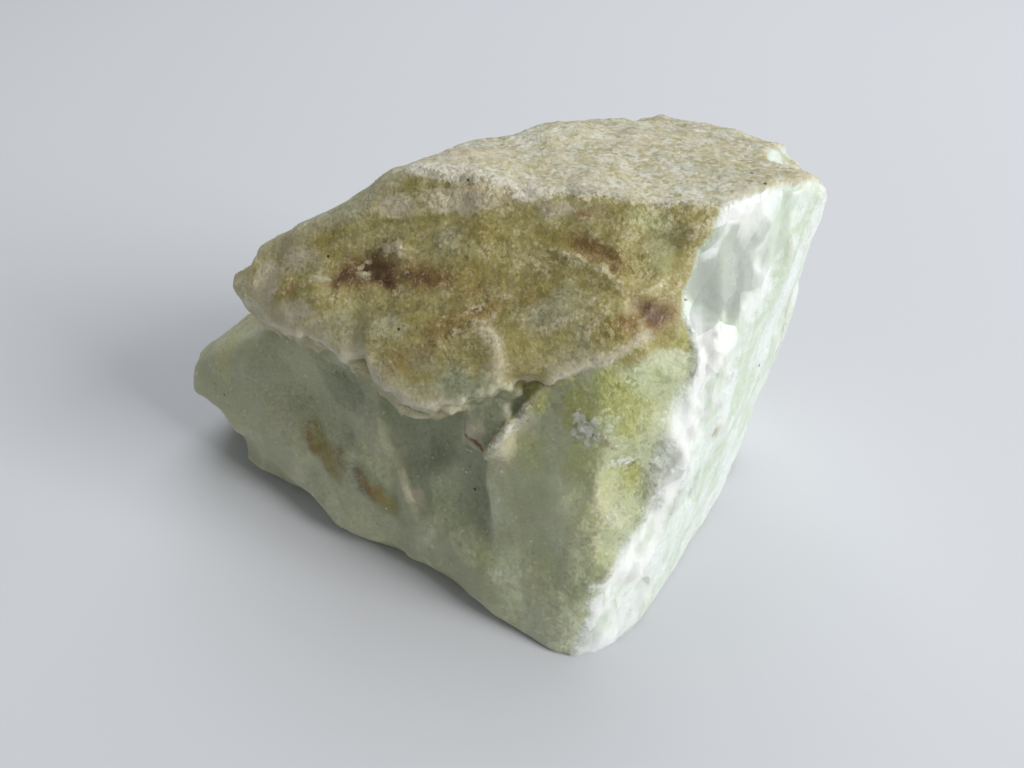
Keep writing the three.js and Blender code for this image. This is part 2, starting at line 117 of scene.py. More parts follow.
# raised plates and hollows: face, (across, up), half sizes, turn in degrees, rise,
# share of the size taken by the slope, corner (2 is oval, more is squarer)
relief = [
    ("lower", (-9.3, -5), (5.6, 7.8), -22, -1.4, 0.7, 2),     # dark recess
    ("lower", (-0.3, -0.2), (3.3, 3.9), 6, 1.2, 0.3, 4),      # block under the lip
    ("lower", (20, -2), (8.4, 15), -8, 0.15, 0.12, 4),        # plate by the crest
    ("lower", (-27, -8), (9, 7), 10, -1, 0.8, 2),
    ("lower", (-17, -13), (6, 4), -20, 0.7, 0.8, 2),
    ("stain", (14.2, 5), (4.4, 4.2), 20, -0.9, 0.6, 2),       # pale lens
    ("stain", (-15.2, 0.8), (5.4, 2.6), 16, -0.9, 0.9, 2),    # earthy pit
    ("stain", (-12.4, 1.6), (2.6, 1.4), 12, 0.6, 0.6, 2),
    ("stain", (-21.5, -5), (7.5, 3.6), 12, 0.8, 0.6, 2),
    ("stain", (-6, -10), (8.6, 6.4), 8, 0.6, 0.2, 3),         # broad lobe of the lip
    ("stain", (6.5, -4), (8.5, 4.4), 22, 0.5, 0.4, 3),
    ("stain", (4.2, -9.6), (2.8, 1.6), 5, -1.4, 0.7, 2),      # green hollow
    ("stain", (13.8, 0), (1.8, 1.5), 0, -0.8, 0.8, 2),        # brown pit
    ("stain", (7.8, 4.6), (3.6, 1.4), -10, -0.5, 0.8, 2),
    ("stain", (0, 0), (6, 2.5), 20, -0.25, 0.9, 2),
    ("crest", (6.6, 10.2), (5, 7), -20, -0.8, 0.7, 2),        # grey shell-shaped chip
    ("crest", (4.2, 3.4), (1.5, 1.9), 0, 1.3, 0.6, 2),        # white knob below it
    ("crest", (3.9, -6.2), (0.8, 0.9), 0, -1.2, 0.5, 2),      # small hole
    ("crest", (2.3, -13.5), (1.7, 3.6), 14, -0.7, 0.4, 3),    # dark strip
    ("crest", (-1.8, -5.5), (2.4, 6), 12, 1.0, 0.9, 2),
]

# where one kind of stone gives way to the next, left to right, on a worked face.
# Each stop: up, across, fade
edges = {
    # the fresh white crest, right of the stained and green faces
    "crest": ("crest", [
        (-34, -16, 2), (-23.5, -12.4, 2), (-19.4, -11.6, 2.5), (-17.5, -9.2, 3), (-14.8, -6.6, 3.5),
        (-11.8, -4, 3.5), (-7.8, -2, 3.5), (-3.7, -1.6, 3.5), (-0.6, -0.4, 3), (2, 1.6, 1.5),
        (4, 2.2, 0.8), (6.4, 2.3, 0.6), (8.1, 2.1, 0.6), (10.1, 3.1, 0.6), (12.3, 3.8, 0.6),
        (14.3, 4.8, 0.8), (16.3, 6.1, 1), (22, 9, 2),
    ]),
    # the smooth green plane, right of the dark recess and the block
    "plane": ("lower", [
        (-24, 3.6, 4), (-16, 2.2, 2.5), (-11.6, 1.3, 1.2), (-7, 0, 0.8), (-3, 0, 0.6),
        (1.4, 2.2, 0.6), (4.4, 3.6, 0.6), (9.4, 6, 1),
    ]),
    # the recess, right of its pale rib
    "recess": ("lower", [
        (-17, -6, 3), (-14.4, -8.3, 1), (-10.8, -10.6, 0.8), (-7.6, -14, 0.8), (-4.5, -14.8, 1),
        (0, -15.5, 2),
    ]),
}

recessFoot = (-17, 5)        # where the recess begins, going up, and its fade

# the low crease on the green face: up, across, share of the full rise
crease = np.array([
    (-24, 16.6, 0), (-16, 15.4, 0.7), (-10.4, 14.6, 1), (-5.7, 13.5, 1), (-1.2, 12.6, 1), (4, 11.6, 0.6),
    (9, 11, 0),
])

# height of the ragged lip of the upper slab, left end to right: x, z
lip = np.array([
    (-30, 33), (-24, 32.4), (-20.8, 31.6), (-17.4, 31.1), (-15.4, 31.1), (-13.8, 30.8),
    (-12.9, 30), (-11.8, 30.6), (-10.6, 31.6), (-10.1, 29.6), (-8.4, 28.5), (-6.2, 27.8),
    (-3.4, 27.9), (-0.6, 28.7), (0.8, 29.4), (2, 30), (3.8, 30.5), (5.8, 30.5),
    (8.2, 31.2), (9.7, 32.1), (12.5, 33.2), (14.7, 34.5), (18.2, 36.3), (40, 38),
])

# shell-shaped chips along an edge or over a hidden face:
# path, facing, count, radius from-to, bite from-to, scatter, seed
chipRuns = [
    ([(24.5, -5.8, 45.5), (22.4, -9.6, 38), (21.4, -12.4, 31), (20, -15.4, 24), (17.3, -19.6, 15),
      (14.8, -22.9, 5)],
     (0.25, -0.95, 0.15), 9, (7, 16), (0.05, 0.4), 0.35, 11),
    ([(33.8, -1.6, 45), (28.8, -8.4, 33), (25, -13, 24), (21.2, -17.2, 14), (16.4, -22.6, 4)],
     (0.72, -0.68, 0.08), 8, (8, 18), (0.1, 0.4), 0.3, 23),
    ([(-9.5, -1.6, 47.4), (-2.1, -0.2, 47.6), (5, -2.4, 47.5), (13.3, -3.5, 47.6), (24, -5.4, 47.5)],
     (-0.1, -0.55, 0.83), 10, (3.5, 8), (0.2, 0.5), 0.35, 37),
    ([(-4.5, 8.8, 45.6), (1.4, 14.6, 45.7), (8.5, 21.3, 45.6), (18, 24.4, 45.6), (28, 22.2, 45.2),
      (36.8, 11.2, 45), (38, 3, 45)],
     (0, 0.62, 0.78), 13, (4, 10), (0.2, 0.7), 0.35, 53),
    ([(-9.5, 3.8, 45.6), (-17.6, 4, 40.9), (-25.4, 2.8, 34.2)],
     (-0.45, -0.1, 0.85), 6, (4, 9), (0.2, 0.7), 0.35, 67),
    ([(-39.8, 14, 8.3), (-31, 5, 6.3), (-22.8, -1.8, 4.8), (-8.7, -12.1, 3.9), (3.6, -19.7, 2.9),
      (13, -25.1, 2.5)],
     (-0.5, -0.75, -0.35), 12, (6, 13), (0.2, 0.6), 0.3, 71),
    ([(-30, 13, 24), (-16, 12, 33), (-5, 20, 33), (8, 28, 27)],
     (-0.4, 0.6, 0.65), 6, (16, 28), (0.5, 1.2), 0.35, 83),
    ([(-6, 27, 22), (8, 28.5, 18), (20, 28.5, 24), (30, 26, 18)],
     (0.1, 0.98, 0.05), 5, (16, 30), (0.4, 1.1), 0.3, 89),
]


def unit(vector):
    vector = np.array(vector, float)
    return vector / np.linalg.norm(vector)


def ease(t):
    t = np.clip(t, 0, 1)
    return t * t * (3 - 2 * t)


def roundMax(a, b, width):
    return np.maximum(a, b) + np.maximum(width - np.abs(a - b), 0) ** 2 / (4 * width)


def roundMaxAll(distances, width):
    largest = distances[0]
    for other in distances[1:]:
        largest = roundMax(largest, other, width)
    return largest


def turnMatrix(turn):
    (cx, cy, cz), (sx, sy, sz) = np.cos(turn), np.sin(turn)
    aboutX = np.array([(1, 0, 0), (0, cx, -sx), (0, sx, cx)])
    aboutY = np.array([(cy, 0, sy), (0, 1, 0), (-sy, 0, cy)])
    aboutZ = np.array([(cz, -sz, 0), (sz, cz, 0), (0, 0, 1)])
    return aboutZ @ aboutY @ aboutX


grainTurn = turnMatrix(stoneForm["grainTurn"])
hashLine, hashGain = np.array((127.1, 311.7, 74.7)), 43758.5453
seedStep = {"facet": 5.17, "scoop": 3.71}      # moves each pattern on from seed to seed
scoopScatter = 0.42                            # how far a scoop's middle may lie off its cell's


# a fixed random value for each corner, from -1 to 1
def cornerValue(corner):
    spread = np.sin(corner @ hashLine) * hashGain
    return (spread - np.floor(spread)) * 2 - 1


# noise that is flat inside small tetrahedra, so it leaves facets and not waves
def facetNoise(points, grain, seed):
    place = points @ grainTurn.T / grain + seed * seedStep["facet"]
    corner = np.floor(place)
    inside = place - corner
    order = np.argsort(-inside, axis=-1)
    inside = np.take_along_axis(inside, order, -1)
    total = cornerValue(corner) * (1 - inside[..., 0])
    for step in range(3):
        corner = corner + np.eye(3)[order[..., step]]
        following = inside[..., step + 1] if step < 2 else 0
        total = total + cornerValue(corner) * (inside[..., step] - following)
    return total


# 0 in the middle of each scoop, rising to a sharp edge where scoops meet
def scoopNoise(points, width, seed):
    place = points / width + seed * seedStep["scoop"]
    corner = np.floor(place)
    nearest = np.full(len(points), 9.0)
    for step in np.ndindex(3, 3, 3):
        cell = corner + np.array(step) - 1
        lean = np.stack([cornerValue(cell + shift) for shift in (0.13, 0.37, 0.71)], -1)
        middle = cell + 0.5 + scoopScatter * lean
        nearest = np.minimum(nearest, ((place - middle) ** 2).sum(1))
    return nearest


# a face's origin, and its directions across and up
def faceFrame(normal, origin):
    normal = unit(normal)
    across = unit(np.cross((0, 0, 1), normal))
    return np.array(origin, float), across, np.cross(normal, across)


faceFrames = {name: faceFrame(*face) for name, face in {**workedFaces, **plainFaces}.items()}
planes = {name: (unit(way), unit(way) @ np.array(spot, float)) for name, (way, spot) in brokenFaces.items()}


# where points lie on a face: across, up
def onFace(points, face):
    origin, across, up = faceFrames[face]
    return (points - origin) @ across, (points - origin) @ up


# 1 in the middle of a patch on a worked face, easing to 0 at its rim
def patchShare(points, face, at, half, turn, edge, corner):
    across, up = onFace(points, face)
    shiftAcross, shiftUp = across - at[0], up - at[1]
    c, s = math.cos(math.radians(turn)), math.sin(math.radians(turn))
    x = np.abs(shiftAcross * c + shiftUp * s) / half[0]
    y = np.abs(shiftUp * c - shiftAcross * s) / half[1]
    return ease((1 - (x ** corner + y ** corner) ** (1 / corner)) / edge)


# 1 on the right of an edge, 0 on its left
def edgeShare(points, name):
    face, stops = edges[name]
    across, up = onFace(points, face)
    heights, places, fades = np.array(stops, float).T
    return ease((across - np.interp(up, heights, places)) / np.interp(up, heights, fades) + 0.5)


# 1 inside the dark recess, which fades out downward
def recessShare(points):
    fadeOut = ease((onFace(points, "lower")[1] - recessFoot[0]) / recessFoot[1])
    return edgeShare(points, "recess") * (1 - edgeShare(points, "plane")) * fadeOut


# a low tent along the crease
def creaseHeight(points):
    across, up = onFace(points, "lower")
    heights, places, rises = crease.T
    aside = across - np.interp(up, heights, places)
    tent = np.maximum(1 - np.abs(aside) / np.where(aside < 0, *stoneForm["creaseWidth"]), 0)
    return stoneForm["creaseRise"] * np.interp(up, heights, rises) * tent


# 1 along a seam that runs over a face, easing to 0 at its sides
def seamShare(points, face, path, width):
    spot = np.stack(onFace(points, face), -1)
    path = np.array(path, float)
    distance = np.full(len(points), 1e9)
    for start, span in zip(path[:-1], path[1:] - path[:-1]):
        share = np.clip((spot - start) @ span / (span @ span), 0, 1)
        distance = np.minimum(distance, np.linalg.norm(spot - start - share[:, None] * span, axis=1))
    return ease(1 - distance / width)


def reliefHeight(points, face):
    height = 0
    for name, at, half, turn, rise, edge, corner in relief:
        if name == face:
            height = height + rise * patchShare(points, face, at, half, turn, edge, corner)
    return height


# the same run of numbers from 0 to 1 for the same seed
def makeRandom(seed):
    state = seed

    def draw():
        nonlocal state
        state = (state * 1664525 + 1013904223) % 4294967296
        return state / 4294967296
    return draw


# the point at a share of a path's length
def pointAlong(path, share):
    path = np.array(path, float)
    lengths = np.linalg.norm(path[1:] - path[:-1], axis=1)
    stops = np.concatenate([[0], np.cumsum(lengths)])
    return np.array([np.interp(share * stops[-1], stops, path[:, axis]) for axis in range(3)])


# the balls that knock the chips of one run off the stone: centre, radius
def strikeChips(path, facing, count, radius, bite, scatter, seed):
    draw = makeRandom(seed)
    struck = []
    for index in range(count):
        spot = pointAlong(path, (index + draw()) / count)
        lean = np.array([draw() - 0.5, draw() - 0.5, draw() - 0.5])
        outward = unit(unit(facing) + 2 * scatter * lean)
        size = radius[0] + (radius[1] - radius[0]) * draw()
        depth = bite[0] + (bite[1] - bite[0]) * draw()
        struck.append((spot + outward * (size - depth), size))
    return struck


chips = [chip for run in chipRuns for chip in strikeChips(*run)]


# 1 on the crest between the lower face and the right face, 0 away from it
def crestShare(points):
    foot, head, core, fade = stoneForm["crestLine"]
    foot, span = np.array(foot), np.array(head) - np.array(foot)
    share = np.clip((points - foot) @ span / (span @ span), 0, 1)
    distance = np.linalg.norm(points - foot - share[..., None] * span, axis=-1)
    return ease(1 - (distance - core) / fade)


def warpOffset(points, amount, grain, seeds):
    return amount * np.stack([facetNoise(points, grain, seed) for seed in seeds], -1)


def warped(points, warps):
    bent = points
    for warp in warps:
        bent = bent + warpOffset(points, *warp)
    return bent


# distances to each part of the form, and to the stone itself: below 0 inside
def stoneParts(points):
    form = stoneForm
    coarse = warpOffset(points, *form["coarseWarp"])
    bent = points + coarse + warpOffset(points, *form["fineWarp"])
    to = {name: bent @ normal - reach for name, (normal, reach) in planes.items()}
    to["topAll"] = roundMax(to["topFront"], to["topBack"], 2 * form["softRound"])
    stain = roundMax(to["stainRight"], to["stainLeft"], form["wideRound"]) - reliefHeight(bent, "stain")
    to["stain"] = stain - form["stainFlat"] * (coarse @ planes["stainRight"][0])
    lower = roundMax(to["lowerLeft"], to["lowerRight"], form["wideRound"]) - reliefHeight(bent, "lower")
    to["lower"] = lower + form["recessDepth"] * recessShare(bent) - creaseHeight(bent)
    crest = roundMaxAll([to["rightFoot"], to["bevel"], to["bevelTop"]], form["crispRound"])
    to["crest"] = crest - reliefHeight(bent, "crest")
    amount, grain, seed = form["lipNotches"]
    lipHeight = np.interp(bent[..., 0], lip[:, 0], lip[:, 1]) + amount * facetNoise(bent, grain, seed)
    to["lip"] = (lipHeight + form["lipShelving"] * to["stain"] - bent[..., 2]) * form["lipSlope"]
    slab = roundMax(to["lip"], to["slabEnd"], form["crispRound"])
    foot = roundMax(to["lower"], to["shoulder"], form["softRound"])
    foot = roundMax(foot, to["crest"], form["crestRound"])
    distance = roundMaxAll([to["topAll"]] + [to[name] for name in blockFaces], form["softRound"])
    distance = roundMax(distance, to["crest"], form["crispRound"])
    distance = roundMax(distance, to["stain"], form["crispRound"])
    distance = roundMax(distance, np.minimum(slab, foot), form["lipRound"])
    for centre, radius in chips:
        distance = roundMax(distance, radius - np.linalg.norm(bent - centre, axis=-1), form["chipRound"])
    amount, grain, seed = form["crestRoughness"]
    distance = distance + crestShare(points) * amount * facetNoise(points, grain, seed)
    to["stone"] = roundMax(distance, -points[..., 2], form["baseRound"])
    return to


def stoneDistance(points):
    return stoneParts(points)["stone"]


def distanceSlope(points, reach=0.12):
    slope = np.empty_like(points)
    for axis in range(3):
        step = np.zeros(3)
        step[axis] = reach
        slope[:, axis] = (stoneDistance(points + step) - stoneDistance(points - step)) / (2 * reach)
    return slope


# samples the stone on a fine grid, but only close to its surface
def sampleGrid(low, high, cell, coarse):
    start = np.array((low[0], low[1], low[2] - cell / 2))
    counts = np.ceil((np.array(high) - start) / (cell * coarse)).astype(int)
    wide = cell * coarse
    index = np.stack(np.meshgrid(*[np.arange(n + 1) for n in counts], indexing="ij"), -1)
    rough = stoneDistance(start + index * wide)
    block = np.stack([rough[i:i + counts[0], j:j + counts[1], k:k + counts[2]]
                      for i in (0, 1) for j in (0, 1) for k in (0, 1)], -1)
    near = np.abs(block).min(-1) < 1.5 * wide
    values = np.where(block.mean(-1) < 0, -wide, wide)
    for axis in range(3):
        values = np.repeat(values, coarse, axis=axis)
        near = np.repeat(near, coarse, axis=axis)
    spots = np.argwhere(near)
    for chunk in np.array_split(spots, max(1, len(spots) // 200000)):
        values[tuple(chunk.T)] = stoneDistance(start + chunk * cell)
    return start, values


# fills any sample where the stone would touch itself along one line only
def closePinches(values, fill=0.05):
    sheets = (((1, 0, 0), (0, 1, 0)), ((0, 1, 0), (0, 0, 1)), ((0, 0, 1), (1, 0, 0)))
    for attempt in range(20):
        filled = 0
        for a, b in sheets:
            size = [n - 1 for n in values.shape]
            part = [values[da:da + size[0], db:db + size[1], dc:dc + size[2]]
                    for da, db, dc in ((0, 0, 0), a, tuple(np.add(a, b)), b)]
            solid = [p < 0 for p in part]
            pinched = (solid[0] == solid[2]) & (solid[1] == solid[3]) & (solid[0] != solid[1])
            part[0][pinched & ~solid[0]] = -fill
            part[1][pinched & ~solid[1]] = -fill
            filled += int(pinched.sum())
        if not filled:
            return


# one corner for each cell that the surface passes through, joined into quads
def surfaceQuads(start, values, cell):
    solid = values < 0
    shape = np.array(values.shape)
    flat = lambda spot: np.ravel_multi_index(tuple(spot.T), shape)
    sums, hits, rings = np.zeros((shape.prod(), 3)), np.zeros(shape.prod()), []
    for axis in range(3):
        step = np.eye(3, dtype=int)[axis]
        side, rise = np.eye(3, dtype=int)[(axis + 1) % 3], np.eye(3, dtype=int)[(axis + 2) % 3]
        near = solid[tuple(slice(0, -1) if a == axis else slice(None) for a in range(3))]
        far = solid[tuple(slice(1, None) if a == axis else slice(None) for a in range(3))]
        spot = np.argwhere(near != far)
        a, b = values[tuple(spot.T)], values[tuple((spot + step).T)]
        crossing = spot + (a / (a - b))[:, None] * step
        ring = []
        for s, r in ((0, 0), (1, 0), (1, 1), (0, 1)):
            owner = flat(spot - s * side - r * rise)
            for k in range(3):
                sums[:, k] += np.bincount(owner, crossing[:, k], shape.prod())
            hits += np.bincount(owner, minlength=shape.prod())
            ring.append(owner)
        ring = np.stack(ring, 1)
        rings.append(np.where((a < 0)[:, None], ring, ring[:, ::-1]))
    used = np.flatnonzero(hits)
    corners = start + sums[used] / hits[used][:, None] * cell
    number = np.full(shape.prod(), -1)
    number[used] = np.arange(len(used))
    return corners, number[np.concatenate(rings)]


# moves each corner onto the true surface, by a limited share of a cell; the base stays
def settle(corners, cell, steps=2, limit=0.4, leastSlope=0.25):
    first = corners.copy()
    onBase = corners[:, 2] < 0.6 * cell
    for step in range(steps):
        slope = distanceSlope(corners)
        push = -stoneDistance(corners) / np.maximum((slope ** 2).sum(-1), leastSlope)
        corners = np.clip(corners + slope * push[:, None], first - limit * cell, first + limit * cell)
    return np.where(onBase[:, None], first, corners)


gridStart, gridValues = sampleGrid(*stoneForm["search"], stoneForm["cell"], stoneForm["coarseStep"])
closePinches(gridValues)
corners, quads = surfaceQuads(gridStart, gridValues, stoneForm["cell"])
corners = settle(corners, stoneForm["cell"])
print("stone: surface has", len(corners), "points and", len(quads), "faces")


# fine relief that only the finished mesh carries: shallow scoops that meet in sharp edges.
# Each layer: depth, width, stretch along the face's own streaks, seed
scoops = {
    "everywhere": [(0.03, 1.1, 1, 21)],
    "top": [(0.13, 3, 1.7, 31), (0.06, 1.2, 1.3, 32)],
    "stain": [(0.08, 3.6, 1.8, 41), (0.04, 1.3, 1.3, 42)],
    "crest": [(0.26, 3.6, 2.4, 51), (0.12, 1.6, 1.8, 52)],
    "right": [(0.16, 4.8, 2.6, 61), (0.06, 1.7, 1.6, 62)],
    "lower": [(0.07, 7, 1.3, 65), (0.02, 1.7, 1, 66)],
    "back": [(0.24, 6.4, 1.6, 71), (0.08, 2.1, 1.3, 72)],
    "ridge": [(0.10, 1.5, 1.2, 75)],
    "frost": [(0.14, 1.2, 1, 77)],
}
streakLines = {
    "everywhere": (1, 0, 0), "top": (1, -0.12, 0), "stain": (0.93, -0.05, 0.36),
    "crest": (0.25, 0.32, 0.91), "right": (0.25, 0.32, 0.91), "lower": (0.6, -0.4, -0.6),
    "back": (0.9, 0.2, -0.3), "ridge": (1, -0.1, 0), "frost": (0.93, -0.05, 0.36),
}
fineForm = {
    "scoopGain": 3,                    # a scoop's edge stands this many depths up
    "scoopFloor": 0.6,                 # and its middle this many below the surface
    "calm": 0.85,                      # share of the grain that a clear, glassy patch loses
    "earthPits": (0.4, 1.2, 91),       # pits in the brown marks: depth, grain, seed
    "seamGrain": (0.8, 0.6, 0.9, 93),  # seams' rise: steady share, broken share, grain, seed
    "chipZone": (33, 4),               # height where the grey chip begins, and its fade
    "baseFade": 1.5,                   # the base stays flat, and relief fades in above it
    "proudRounds": 14,                 # how wide the look round a corner is for worn, highlighted edges and hollows
    "proudHeight": 0.25,               # a corner this proud is fully worn and fully highlighted
    # how ragged the marks, the seams and the edges between faces are: amount, grain, seeds
    "markWarps": [(0.8, 2.2, (81, 82, 83)), (0.35, 0.9, (84, 85, 86))],
    "seamWarps": [(0.35, 2.2, (81, 82, 83)), (0.25, 0.9, (84, 85, 86))],
    "edgeWarps": [(0.5, 1.6, (84, 85, 86))],
    # turn at which a face counts as top, back or right, and the fade
    "topTurn": (0.84, 0.08),
    "backTurn": (0.1, 0.25),
    "rightTurn": (0.86, 0.08),
}

# thin ridges, seams and cracks: kind of mark, face, (across, up) points, half width, strength, rise
seams = [
    ("frost", "stain", [(5.6, 3.9), (7.6, 3.3), (9.3, 2.9), (10.4, 2.3), (11.2, 1.6)], 0.9, 0.75, 0.3),
    ("frost", "stain", [(-6, -6.6), (-4.2, -5.6), (-2.5, -4.4), (0, -3.3)], 0.9, 0.6, 0.1),
    ("ochre", "stain", [(-10, -10.6), (-8.6, -9.2), (-6.3, -8.1)], 2.2, 0.6, 0),
    ("ochre", "stain", [(-6.3, -5.9), (-3.4, -4.2), (-0.6, -2.6)], 2.4, 0.7, 0),
    ("sand", "stain", [(10, 0.4), (7.6, -1.9), (4.8, -4.4)], 0.8, 0.5, 0),
    ("sand", "stain", [(-0.9, -4.6), (0.5, -6), (1.4, -8.2), (2.6, -9.8)], 1.6, 0.7, 0),
    ("rust", "lower", [(-3, -2.2), (-1.8, -2), (-0.6, -2.9)], 0.55, 1.1, -0.1),
    ("rust", "lower", [(10.6, 3.6), (12.2, 3.1), (13.4, 2.2)], 0.5, 0.7, 0.1),
    ("frost", "lower", [(0.3, -3), (1.2, -0.6), (2.6, 1.6), (3.7, 4)], 1.1, 0.6, 0.15),
    ("sand", "lower", [(1.2, -4.5), (2.2, -0.8), (4, 3)], 3.4, 0.65, 0),
    ("sand", "lower", [(3.7, 4), (4.7, 6.2), (6.3, 9.4)], 1.2, 0.8, 0.1),
    ("mist", "lower", [(-17.4, -3), (-16.2, -5), (-15, -7.6), (-11.4, -11), (-9, -14.2)], 3.6, 1, 0),
    ("sand", "lower", [(-3.6, -3.2), (-3.5, 2.3)], 0.9, 0.7, 0.1),
    ("pale", "lower", [(12.5, -1.3), (13.6, -5.5), (14.5, -10.4)], 0.9, 0.6, 0.1),
    ("sand", "right", [(14, 16), (9, 4), (7, -8), (2, -20)], 1.6, 0.6, 0.15),
    ("sand", "right", [(2, 14), (3.5, 2), (-1, -12)], 1.2, 0.5, 0.1),
    ("ochre", "right", [(8.6, 3), (7.4, -5)], 1, 0.5, 0),
    ("frost", "crest", [(4.2, 4.8), (2.6, 2), (1, -1.4), (0.2, -4.5), (-0.6, -7.6), (-3.4, -11.4)],
     1.7, 0.9, 0.2),
    ("frost", "crest", [(-3.4, -11.4), (-5.6, -14.8), (-8.6, -17.2), (-11.8, -19.6)], 1.3, 0.9, 0.2),
]

